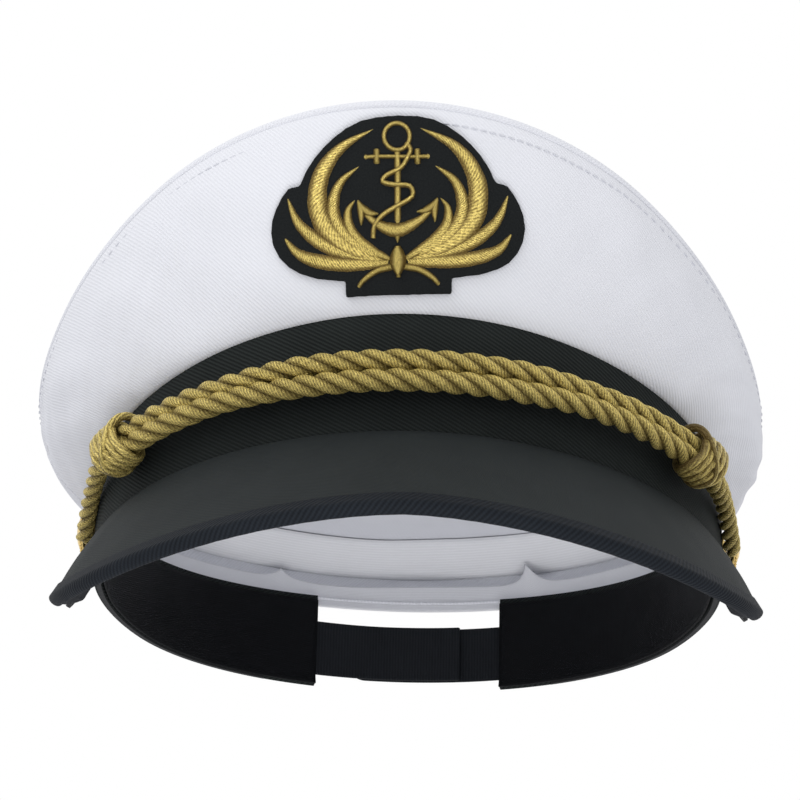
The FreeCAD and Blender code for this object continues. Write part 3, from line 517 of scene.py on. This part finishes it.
def visor_frame(turn):
    """The seam on the band, the way down the visor, its upward direction and its reach."""
    seam, out = oval(turn, *VISOR_SEAM_OVAL)
    seam.z = rim_height(seam.y) + 0.0025
    slope = math.radians(41 + 22 * abs(math.sin(turn)) ** 1.5)
    down = out * math.cos(slope) - Vector((0, 0, math.sin(slope)))
    upward = out * math.sin(slope) + Vector((0, 0, math.cos(slope)))
    return seam, down, upward, VISOR_REACH * (1 - abs(turn / HALF_TURN) ** 2.9)


def visor_top_place(s, t):
    """The cover arches a little between seam and edge, and puckers slightly."""
    turn = VISOR_END * (2 * s - 1)
    seam, down, upward, reach = visor_frame(turn)
    free = 4 * t * (1 - t)
    pucker = 0.0003 * noise.noise(Vector((turn * 9, t * 2, 6))) * free
    tuck = 0.0010 * math.exp(-((1 - t) / 0.02) ** 2)
    point = seam + down * (reach * (1 - t)) + upward * (0.0009 * free - tuck + pucker)
    return point, (turn * 0.11, -VISOR_REACH * (1 - t))


def visor_under_place(s, t):
    turn = VISOR_END * (2 * s - 1)
    seam, down, upward, reach = visor_frame(turn)
    return seam + down * (reach * t) - upward * VISOR_UNDER, (turn * 0.11, VISOR_REACH * t)


visor_twill = twill(
    "visor_twill", low=(0.009, 0.011, 0.012), high=(0.026, 0.031, 0.032),
    pitch=0.0007, across=0.35, up=0.94, depth=0.00006, rough=0.7,
)
visor_top = cloth("visor_top_cloth", 200, 28, visor_top_place)
thicken(visor_top, 0.0005)
fit(visor_top, visor_twill, "black_twill", "cap", "visor_top_cover")
visor_under = cloth("visor_under_cloth", 200, 20, visor_under_place)
fit(visor_under, sweat_cloth, "black_twill", "cap", "visor_under_cover")


def binding_section(t, lap):
    """Round the folded binding: along the top, over the rounded edge and back underneath."""
    top, round_edge, under = 0.3, 0.4, 0.3
    if t < top:
        return -lap * (1 - t / top), BINDING_HALF
    if t < top + round_edge:
        angle = math.pi * (t - top) / round_edge
        return 0.0001 + BINDING_HALF * 0.65 * math.sin(angle), BINDING_HALF * math.cos(angle)
    return -lap * (t - top - round_edge) / under, -BINDING_HALF


def binding_place(s, t):
    turn = VISOR_END * (2 * s - 1)
    seam, down, upward, reach = visor_frame(turn)
    along, height = binding_section(t, min(BINDING_LAP, reach * 0.42))
    rope = 0.00005 * math.sin(turn * 620 + t * 9)
    end = min(1.0, (1 - abs(2 * s - 1)) * 40 + 0.9)
    spot = seam + down * (reach + along * end) + upward * (height * end - 0.0011)
    return spot + upward * math.copysign(rope, height), (turn * 0.12, t * 0.012)


binding_twill = twill(
    "binding_twill", low=(0.002, 0.003, 0.005), high=(0.014, 0.018, 0.024),
    pitch=0.0011, across=0.75, up=0.66, depth=0.00012, rough=0.7,
)
binding = cloth("visor_binding_cloth", 320, 30, binding_place)
thicken(binding, 0.0004)
fit(binding, binding_twill, "black_twill", "cap", "visor_binding")

stiff_board = Finish("stiff_board", Base_Color=(0.008, 0.009, 0.010, 1))
fibres = stiff_board.speckle(stiff_board.solid_place(), 800)
stiff_board.feed("Roughness", fibres * 0.3 + 0.55)
dress(stiff_board, "visor_board", "band_stiffener")


# ---- Gold chin cord ----
# Two three-strand cords of gold yarn, one above the other, that lie on a tilted circle across the
# front. Behind each knot one of them turns in against the band and runs back to its button.
# CORD is a cord's radius, STRAND a strand's, and GIRTH the way round a strand.

CORD = 0.00285
STRAND = 0.00150
STRAND_OUT = 0.00138
GIRTH = 0.0094
RUN = 0.091
KNOT_TURN = math.radians(54.6)
TILT = math.radians(12)
CORD_UP = Vector((0, math.sin(TILT), math.cos(TILT)))
CORD_AHEAD = Vector((0, -math.cos(TILT), math.sin(TILT)))
CORD_HUB = Vector((0, -0.019, 0.025 - RUN * math.sin(TILT)))


def run_out(turn):
    return CORD_AHEAD * math.cos(turn) + Vector((math.sin(turn), 0, 0))


def run_along(turn):
    return Vector((math.cos(turn), 0, 0)) - CORD_AHEAD * math.sin(turn)


def cord_centre(turn, level):
    """The two cords touch along the front and are drawn closer where the knots grip them."""
    share = ramp((abs(turn) - 0.28) / 0.26)
    pinch = 1 - 0.24 * share * share * (3 - 2 * share)
    return CORD_HUB + run_out(turn) * RUN + CORD_UP * (level * pinch)


def cord_route(side, level):
    """Points from the cord's tail in one knot, round the front, to the button on its side."""
    first, last = math.radians(-58), math.radians(57)
    points = [cord_centre(side * (first + (last - first) * i / 150), level) for i in range(151)]
    start = points[-1]
    after_start = start + run_along(side * last) * side * 0.005
    finish = Vector((side * 0.0888, -0.0165, 0.0100))
    before_finish = finish - Vector((side * 0.17, 0.95, -0.26)) * 0.028
    for i in range(1, 41):
        t = i / 40
        a, b, c, d = (1 - t) ** 3, 3 * t * (1 - t) ** 2, 3 * t * t * (1 - t), t**3
        points.append(start * a + after_start * b + before_finish * c + finish * d)
    return points


def strand_place(points, side, part, lay):
    """One strand wound round the cord's centre line, three to a cord; lay is the length of a turn."""
    lengths = [0.0]
    for a, b in zip(points, points[1:]):
        lengths.append(lengths[-1] + (b - a).length)
    last = len(points) - 1

    def place(s, t):
        i = min(int(s * last), last - 1)
        share = s * last - i
        centre = points[i].lerp(points[i + 1], share)
        before, after = points[max(i - 1, 0)], points[min(i + 2, last)]
        ahead = (after - before).normalized()
        across = ahead.cross(CORD_UP).normalized() * side
        upward = across.cross(ahead).normalized()
        if upward.dot(CORD_UP) < 0:
            upward = -upward
        length = lengths[i] + (lengths[i + 1] - lengths[i]) * share
        angle = math.tau * part / 3 - side * math.tau * length / lay
        end = min(1.0, (lengths[-1] - length) / 0.003 + 0.35, length / 0.001 + 0.2)
        end *= 1 - 0.14 * ramp((length - 0.190) / 0.015)
        wave = 1 + 0.05 * noise.noise(Vector((length * 160, part * 3.0, side)))
        middle = centre + (across * math.cos(angle) + upward * math.sin(angle)) * (STRAND_OUT * end)
        around = angle + math.tau * t
        toward = across * math.cos(around) + upward * math.sin(around)
        return middle + toward * (STRAND * end * wave), (length, t * GIRTH * side)

    return place


def gold_yarn(name, low, high, pitch, across, up, depth, girth):
    """Metallic yarn: fine slanting threads, broken up by speckles that are painted glints in the colour and
    shinier, raised spots in the roughness and bump, with painted shade where strands of that girth touch.
    """
    finish = Finish(name, Metallic=0.5, Specular_IOR_Level=0.6)
    s, t, place = finish.pattern_place()
    fuzz = finish.speckle(place, 1500, 3)
    ridge = finish.maths("SINE", (s * across + t * up) * (math.tau / pitch) + fuzz * 5) * 0.5 + 0.5
    # Painted highlight: the speckle lightens the colour in small spots that stand in for glints; it also
    # lowers the roughness and raises the bump there.
    yarn_speckle_and_painted_glint = finish.node("ShaderNodeMapRange", {}, {0: finish.speckle(place, 2300, 3), 1: 0.40, 2: 0.62})
    # Painted shade: the colour darkens on each strand's flanks, where it touches its neighbours.
    flank = finish.maths("ABSOLUTE", finish.maths("SINE", t * (math.pi / girth)))
    painted_touch_shade = finish.node("ShaderNodeMapRange", {}, {0: flank, 1: 0.4, 2: 0.92, 3: 1.0, 4: 0.08})
    finish.colour((ridge * 0.5 + yarn_speckle_and_painted_glint * 0.45 + 0.17) * painted_touch_shade, low, high)
    finish.relief(ridge + yarn_speckle_and_painted_glint, depth)
    finish.feed("Roughness", 0.58 - yarn_speckle_and_painted_glint * 0.32)
    return finish


YARN_LOW, YARN_HIGH = (0.08, 0.046, 0.006), (1.0, 0.80, 0.25)
gold_cord = gold_yarn(
    "gold_cord", YARN_LOW, YARN_HIGH, pitch=0.00095, across=0.92, up=0.40, depth=0.0003, girth=GIRTH
)
for level_name, side, level, lay in (("upper", -1, CORD, 0.0185), ("lower", 1, -CORD, 0.0172)):
    route = cord_route(side, level)
    for part in range(3):
        place = strand_place(route, side, part, lay)
        strand = cloth(f"{level_name}_cord_strand_{part + 1}", 380, 12, place)
        fit(strand, gold_cord, "gold_cord", "cap", f"{level_name}_cord")


# ---- Sliding knots ----
# Each is several turns of slim gold cord wound tightly round both chin cords, with one slack turn
# slung across the front of the rest. It slides along the cords.


KNOT_TURNS = [  # place along the cords, lean, reach out, reach up, thickness
    (-0.0047, 0.0030, 0.0041, 0.0059, 0.0012),
    (-0.0024, 0.0036, 0.0043, 0.0062, 0.00125),
    (0.0, 0.0038, 0.0044, 0.0063, 0.00125),
    (0.0024, 0.0036, 0.0043, 0.0062, 0.00125),
    (0.0047, 0.0030, 0.0041, 0.0059, 0.0012),
    (-0.0026, -0.0032, 0.0050, 0.0066, 0.0011),
]
KNOT_TURN_LENGTH = 0.033
HANDS = (("right", -1), ("left", 1))


def knot_turn(side, along, lean, reach_out, reach_up, thick):
    """A turn of the knot as a closed path round both cords, leaning along them."""
    here = side * KNOT_TURN

    def path(s):
        angle = math.tau * s
        out = math.copysign(abs(math.cos(angle)) ** 0.8, math.cos(angle)) * reach_out
        up = math.copysign(abs(math.sin(angle)) ** 0.85, math.sin(angle)) * reach_up
        if out < 0:
            out *= 0.95
        slide = along + lean * math.sin(angle) + 0.0002 * math.sin(3 * angle + along * 900)
        turn = here + slide / RUN
        centre = CORD_HUB + run_out(turn) * (RUN + out) + CORD_UP * up
        outward = (run_out(turn) * math.cos(angle) + CORD_UP * math.sin(angle)).normalized()
        return centre, outward, -run_along(turn), thick

    return path


knot_cord = gold_yarn(
    "knot_cord", YARN_LOW, YARN_HIGH, pitch=0.0009, across=0.25, up=0.97, depth=0.00022, girth=GIRTH
)
for hand, side in HANDS:
    for i, (along, lean, *reach_and_thickness) in enumerate(KNOT_TURNS):
        path = knot_turn(side, side * along, side * lean, *reach_and_thickness)
        loop = tube(f"{hand}_knot_turn_{i + 1}", 80, 12, path, KNOT_TURN_LENGTH)
        fit(loop, knot_cord, "gold_cord", f"{hand}_knot", f"{hand}_knot")


# ---- Side buttons ----
# A domed gilt shell with a beaded rim, pressed over a back plate whose shank turns in a brass eyelet
# in the band. A clip inside the cap holds the shank.

BUTTON_Y, BUTTON_Z = -0.009, 0.0145
SHELL_FOOT = 88.7
BEADS = 40
BEAD_OUT = 0.09005
BEAD = 0.00048
BEAD_CIRCLE = 0.0068
# The shell's section from the middle of its face round the rim: radius and height in millimetres.
SHELL = [
    (0, 3.2), (1.6, 3.12), (3.2, 2.8), (4.6, 2.25), (5.6, 1.6), (6.0, 1.15), (6.25, 1.05), (6.45, 1.25),
    (6.8, 1.35), (7.1, 1.15), (7.2, 0.8), (7.1, 0.3), (6.8, 0.05), (6.4, 0.1), (6.3, 0.55), (0, 0.6),
]

gilt = Finish("gilt", Metallic=1.0)
wear = gilt.speckle(gilt.solid_place(), 500, 4)
gilt.feed("Roughness", wear * 0.25 + 0.12)
gilt.colour(wear, (0.70, 0.47, 0.13), (0.90, 0.70, 0.30))
for hand, side in HANDS:
    shell = bmesh.new()
    profile = [
        shell.verts.new((side * (SHELL_FOOT + height) / 1000, BUTTON_Y, BUTTON_Z + radius / 1000))
        for radius, height in SHELL
    ]
    for a, b in zip(profile, profile[1:]):
        shell.edges.new((a, b))
    bmesh.ops.spin(
        shell, geom=shell.verts[:] + shell.edges[:], cent=(0, BUTTON_Y, BUTTON_Z), axis=(1, 0, 0),
        angle=math.tau, steps=64, use_merge=True,
    )
    bmesh.ops.remove_doubles(shell, verts=shell.verts, dist=1e-6)
    rim = Matrix.Translation((side * BEAD_OUT, BUTTON_Y, BUTTON_Z))
    for i in range(BEADS):
        bead = Matrix.Rotation(math.tau * i / BEADS, 4, "X") @ Matrix.Translation((0, 0, BEAD_CIRCLE))
        bmesh.ops.create_icosphere(shell, subdivisions=1, radius=BEAD, matrix=rim @ bead)
    bmesh.ops.recalc_face_normals(shell, faces=shell.faces)
    for face in shell.faces:
        face.smooth = True
    button = solid(f"{hand}_button_dome", shell)
    fit(button, gilt, "gold_metal", f"{hand}_button", f"{hand}_button_shell")
    dress(gilt, f"{hand}_button_shank", f"{hand}_button_clip", f"{hand}_eyelet")


# ---- Adjustable strap ----
# Two ends of dark webbing that lap over each other across the gap at the back, inside the turned
# edges of the band. The outer one has round corners on its first end.


STRAP_LOW, STRAP_HIGH = 0.0037, 0.0210
STRAP_THICK = 0.0010
STRAP_CORNER = 0.006
BACK_HUB = 0.019


def strap(name, first_x, last_x, inner, rounded):
    """A strap from one x to the other with soft edges, and round corners on its first end if wanted."""

    def place(s, t):
        x = first_x + (last_x - first_x) * s
        trim, along = 0.0, abs(x - first_x)
        if rounded and along < STRAP_CORNER:
            trim = STRAP_CORNER - math.sqrt(STRAP_CORNER**2 - (STRAP_CORNER - along) ** 2)
        half = (STRAP_HIGH - STRAP_LOW) / 2 - trim
        angle = math.tau * (t - 0.25)
        wide = max(-1.0, min(1.0, 1.03 * math.sin(angle)))
        deep = math.copysign(min(1.0, abs(math.cos(angle)) * 4), math.cos(angle))
        end = min(1.0, s * 60 + 0.5, (1 - s) * 60 + 0.5)
        height = (STRAP_LOW + STRAP_HIGH) / 2 + half * wide * (0.96 + 0.04 * end)
        sag = 0.0002 * noise.noise(Vector((x * 60, height * 40, inner * 500)))
        radius = inner + STRAP_THICK * (0.5 + 0.5 * deep * end) + sag
        point = Vector((x, BACK_HUB + math.sqrt(radius**2 - x**2), height))
        return point, (x, height + 0.02 * (deep < 0))

    piece = cloth(name, 120, 48, place)
    close_ends(piece, turn_outward=True)
    return piece


webbing = twill(
    "webbing", low=(0.004, 0.005, 0.007), high=(0.013, 0.015, 0.018),
    pitch=0.0009, across=1.0, up=0.0, depth=0.00008, rough=0.7,
)
inner_strap = strap("strap_left_webbing", 0.0165, -0.0435, 0.0818, rounded=False)
fit(inner_strap, webbing, "black_webbing", "cap", "strap_left")
outer_strap = strap("strap_right_webbing", -0.0195, 0.0435, 0.0840, rounded=True)
outer_strap.data.materials.append(webbing.material)
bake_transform(outer_strap)
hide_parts("strap_right", "strap_right_anchor")

pile = Finish("hook_and_loop", Roughness=0.95, Specular_IOR_Level=0.1)
tufts = pile.node("ShaderNodeTexVoronoi", {}, {"Vector": pile.solid_place(), "Scale": 1400})
pile.colour(tufts, (0.06, 0.06, 0.065), (0.008, 0.008, 0.009))
pile.relief(tufts, 0.0004)
dress(pile, "loop_pad", "hook_pad")


# ---- Badge patch ----
# A piece of black felt cut to a crest with a straight tab below, sewn flat on the front of the crown
# and leaning slightly.

crown_tree = BVHTree.FromPolygons(
    [v.co.copy() for v in front_panel.data.vertices], [tuple(p.vertices) for p in front_panel.data.polygons]
)
BADGE_LEAN = math.radians(-2)
BADGE_START = Vector((-0.0037, -0.2, 0.0665))
BACKWARD = Vector((0, 1, 0))
FELT = 1.1


def on_badge(x, z, out):
    """The place on the crown of a badge point given in millimetres, standing out by so much."""
    x, z = x / 1000, z / 1000
    lean_cos, lean_sin = math.cos(BADGE_LEAN), math.sin(BADGE_LEAN)
    start = BADGE_START + Vector((x * lean_cos + z * lean_sin, 0, z * lean_cos - x * lean_sin))
    above = Vector((0, 0, 0))
    spot, side = crown_tree.ray_cast(start, BACKWARD)[:2]
    while spot is None:  # past the crown's top edge, the badge stands straight up from it
        above.z += 0.0004
        spot, side = crown_tree.ray_cast(start - above, BACKWARD)[:2]
    if side.y > 0:
        side = -side
    return spot + above + side * (out / 1000)


# Half of the patch's outline from its top to its foot, in millimetres.
CREST = [
    (0, 21.3), (5, 21), (9, 20.2), (12.4, 18.6), (15.4, 16.6), (18, 14.4), (20.4, 11.8), (22.4, 8.9),
    (23.8, 6), (24.6, 5.5), (26.6, 5.5), (28.4, 3.4), (29.8, 1), (30.8, -1.6), (31.1, -4.4),
    (30.6, -7.4), (29.2, -10.2), (27, -12.6), (24.2, -14.4), (20, -15.9), (13.3, -17), (12.9, -17.3),
    (12.9, -20.4), (12.4, -20.6), (0, -20.6),
]


def crest_reach(angle):
    """How far the crest's outline is from its middle in a direction, measured from straight up."""
    toward = Vector((abs(math.sin(angle)), math.cos(angle)))
    for a, b in zip(CREST, CREST[1:]):
        start, edge = Vector(a), Vector(b) - Vector(a)
        slope = toward.x * edge.y - toward.y * edge.x
        if abs(slope) > 1e-9:
            reach = (start.x * edge.y - start.y * edge.x) / slope
            share = (start.x * toward.y - start.y * toward.x) / slope
            if reach > 0 and -1e-6 <= share <= 1 + 1e-6:
                return reach
    return -CREST[-1][1]


def patch_place(s, t):
    """The felt from its middle out to its edge, which is rounded down to the crown."""
    angle = math.tau * s
    reach = crest_reach(angle) + 0.08 * noise.noise(Vector((s * 90, 0, 0)))
    share = math.sin(t * math.pi / 2)
    spot = Vector((math.sin(angle), math.cos(angle))) * (reach * share)
    edge = FELT * (1 - max(0.0, (t - 0.9) / 0.1) ** 3)
    return on_badge(spot.x, spot.y, edge), (spot.x / 1000, spot.y / 1000)


felt = Finish("black_felt", Roughness=0.95, Specular_IOR_Level=0.1)
nap = felt.speckle(felt.pattern_place()[2], 2600, 4)
felt.colour(nap, (0.004, 0.005, 0.006), (0.020, 0.022, 0.022))
felt.relief(nap, 0.0002)
patch = cloth("badge_felt", 360, 40, patch_place)
fit(patch, felt, "black_felt", "cap", "badge_patch")


# ---- Badge embroidery ----
# Gold metallic thread in raised satin stitch: laurel leaves either side, and between them an anchor
# with a rope twined about it, tied below with a band and two stems.


THREAD_BASE = 0.95


def satin(mesh, layer, middle, half_width, base, height):
    """A raised strip of stitching: middle(s) and half_width(s) in millimetres of the badge."""
    made = bmesh.ops.create_grid(mesh, x_segments=36, y_segments=8, size=0.5)
    pattern = {}
    for vert in made["verts"]:
        s, t = vert.co.x + 0.5, (vert.co.y + 0.5) * 2 - 1
        spot = Vector(middle(s))
        ahead = Vector(middle(min(s + 0.01, 1.0))) - Vector(middle(max(s - 0.01, 0.0)))
        across = Vector((-ahead.y, ahead.x)).normalized()
        ragged = 1 + 0.10 * noise.noise(Vector((spot.x * 2.6, spot.y * 2.6, t)))
        wide = half_width(s) * ragged
        ends = min(1.0, math.sin(math.pi * min(max(s, 0.02), 0.98)) * 3)
        raised = height * math.sqrt(max(0.0, 1 - t * t)) * ends
        place = spot + across * (wide * t)
        vert.co = on_badge(place.x, place.y, base + raised)
        pattern[vert] = (s * 0.02, t * 0.0018)
    for face in {f for v in made["verts"] for f in v.link_faces}:
        face.smooth = True
        for corner in face.loops:
            corner[layer].uv = pattern[corner.vert]


def through(points):
    """A smooth curve that passes through points evenly spaced along it."""
    spots = [Vector(p) for p in points]
    spots = [spots[0] * 2 - spots[1]] + spots + [spots[-1] * 2 - spots[-2]]

    def curve(s):
        place = s * (len(points) - 1)
        i = min(int(place), len(points) - 2)
        t = place - i
        a, b, c, d = spots[i : i + 4]
        square, cube = a * 2 - b * 5 + c * 4 - d, b * 3 - a - c * 3 + d
        return (b * 2 + (c - a) * t + square * t**2 + cube * t**3) / 2

    return curve


def stitched(name, strips, node):
    """One embroidered piece of several strips: middle line, half width, base and height of each."""
    mesh = bmesh.new()
    layer = mesh.loops.layers.uv.new("Cloth")
    for middle, half_width, base, height in strips:
        satin(mesh, layer, middle, half_width, base, height)
    fit(solid(name, mesh), gold_thread, "gold_thread", "cap", node)


def straight(start, end):
    return lambda s: Vector(start).lerp(Vector(end), s)


def even(width):
    return lambda s: width


def bellied(ends, middle):
    """Half widths that swell from the ends of a strip to its middle."""
    return lambda s: ends + middle * math.sin(math.pi * s)


def ring_line(s):
    """Once round the anchor's ring and a little over."""
    return 3.2 * math.sin(7 * s), 16.2 + 3.2 * math.cos(7 * s)


gold_thread = gold_yarn(
    "gold_thread", low=(0.12, 0.07, 0.008), high=(1.0, 0.78, 0.22),
    pitch=0.00045, across=1.0, up=0.55, depth=0.00012, girth=0.0036,
)
# Each leaf's greatest half width and its middle line from root to tip, in millimetres.
LEAVES = [
    (2.5, [(2.5, -12.4), (10.8, -10.2), (16.4, -5.9), (19.3, -0.8), (19.4, 5), (17.3, 10), (13.2, 14.2),
           (5.8, 18)]),
    (1.75, [(2.5, -12.3), (8, -10.2), (12.8, -6.6), (15.5, -2.2), (15.6, 2.1), (13.6, 6.1), (9.2, 9.3)]),
    (1.4, [(1.7, -12.4), (5.6, -10.6), (9.6, -7.7), (11.9, -4.4), (12.1, -0.8), (10.3, 1.7)]),
    (1.65, [(1.7, -12.8), (9.6, -11.5), (16, -9.5), (21.1, -6.2), (24.7, -2.2), (27, 3.5)]),
    (1.8, [(1.7, -13), (7.2, -13.3), (13.6, -13.1), (20, -11.8), (24.7, -9.5), (28, -5.4)]),
]
for hand, side in HANDS:
    leaves = []
    for i, (wide, line) in enumerate(LEAVES):
        blade = lambda s, wide=wide: wide * math.sin(math.pi * min(1.0, s * 0.9 + 0.1)) ** 0.8 + 0.08
        leaves.append((through([(side * x, z) for x, z in line]), blade, THREAD_BASE, 0.85 - 0.07 * i))
    stitched(f"badge_leaves_{hand}", leaves, f"badge_laurel_{hand}")

stock_line = straight((-8.2, 11.4), (8.2, 11.4))
arms_line = [(-8.2, -1.2), (-5.6, -3.6), (-2.8, -5.2), (0, -5.9), (2.8, -5.2), (5.6, -3.6), (8.2, -1.2)]
anchor = [
    (ring_line, even(0.62), THREAD_BASE, 0.7),
    (straight((0, 13.6), (0, -4.4)), even(0.85), THREAD_BASE, 0.75),
    (stock_line, lambda s: 0.55 + 0.35 * (abs(s - 0.5) > 0.45), THREAD_BASE, 0.7),
]
for side in (-1, 1):
    anchor.append((straight((side * 5, 9.6), (side * 5, 13.3)), even(0.85), THREAD_BASE, 0.8))
arms_width = lambda s: 0.75 + 0.95 * math.sin(math.pi * s) ** 2
anchor.append((through(arms_line), arms_width, THREAD_BASE, 0.8))
for side in (-1, 1):
    inner_barb = through([(side * x, z) for x, z in [(9.7, 1.6), (8.6, -0.2), (6.6, -1.6), (4.6, -1.9)]])
    outer_barb = through([(side * x, z) for x, z in [(9.7, 1.6), (8.9, -1), (8.9, -4.3)]])
    anchor.append((inner_barb, bellied(0.25, 0.75), THREAD_BASE, 0.75))
    anchor.append((outer_barb, bellied(0.2, 0.75), THREAD_BASE, 0.75))
anchor.append((straight((0, -6.6), (0, -8.8)), lambda s: 1.1 * (1 - s) + 0.1, THREAD_BASE, 0.5))
stitched("badge_anchor_stitching", anchor, "badge_anchor")

rope_line = [
    (2.3, 14.8), (3.3, 13.2), (2.7, 11.5), (0.7, 8.6), (-2.6, 6.9), (-3.6, 5.4), (-0.9, 4.6), (2.9, 4.3),
    (3.5, 1.7), (-0.1, -0.4), (-3.6, -2.3), (-5.6, -4.6), (-6, -7.3),
]
stitched("badge_rope_stitching", [(through(rope_line), even(0.62), 1.3, 0.75)], "badge_anchor_rope")

tie = []
for side in (1, -1):
    stem = through([(side * x, z) for x, z in [(1.2, -14), (5, -14.9), (8.2, -16.8), (9.9, -18.6)]])
    tie.append((stem, lambda s: 0.95 * (1 - 0.4 * s), THREAD_BASE, 0.7))
band_width = lambda s: 0.6 + 1.5 * math.sin(math.pi * min(1, s * 1.1))
tie.append((straight((0, -9.4), (0, -16.6)), band_width, 1.4, 1.1))
stitched("badge_tie_stitching", tie, "badge_tie")


# ---- Floor, lights and camera ----
# The cap hangs above a plain pale floor in even studio light, and is seen from the front, from below
# its brim.

FLOOR_Z = -0.34
floor_mesh = bmesh.new()
floor_place = Matrix.Translation((0, 0, FLOOR_Z))
bmesh.ops.create_grid(floor_mesh, x_segments=1, y_segments=1, size=20, matrix=floor_place)
floor = solid("floor", floor_mesh)
floor.data.materials.append(Finish("pale_floor", Base_Color=(0.58, 0.58, 0.60, 1), Roughness=0.9).material)

scene = bpy.context.scene
scene.view_settings.view_transform = "Standard"
world = bpy.data.worlds.new("studio")
world.use_nodes = True
background = world.node_tree.nodes["Background"]
background.inputs["Color"].default_value = (1.0, 1.0, 1.0, 1)
background.inputs["Strength"].default_value = 1.0
scene.world = world


def soft_light(name, place, power, size):
    """A square soft light that faces the cap."""
    lamp = bpy.data.lights.new(name, "AREA")
    lamp.energy = power
    lamp.size = size
    holder = bpy.data.objects.new(name, lamp)
    scene.collection.objects.link(holder)
    facing = (-Vector(place)).to_track_quat("-Z", "Y").to_matrix().to_4x4()
    holder.matrix_world = Matrix.Translation(place) @ facing


soft_light("key", (-0.6, -0.9, 1.0), 5.5, 0.6)
soft_light("fill", (0.0, -0.24, -0.32), 1.15, 0.3)

lens = bpy.data.cameras.new("camera")
lens.lens = 108.5
lens.clip_start = 0.01
camera = bpy.data.objects.new("camera", lens)
scene.collection.objects.link(camera)
pan = Matrix.Rotation(math.radians(0.642), 4, "Z")
tilt = Matrix.Rotation(math.radians(111.476), 4, "X")
roll = Matrix.Rotation(math.radians(1.359), 4, "Z")
camera.matrix_world = Matrix.Translation((0.00394, -0.6457, -0.1943)) @ pan @ tilt @ roll
scene.camera = camera
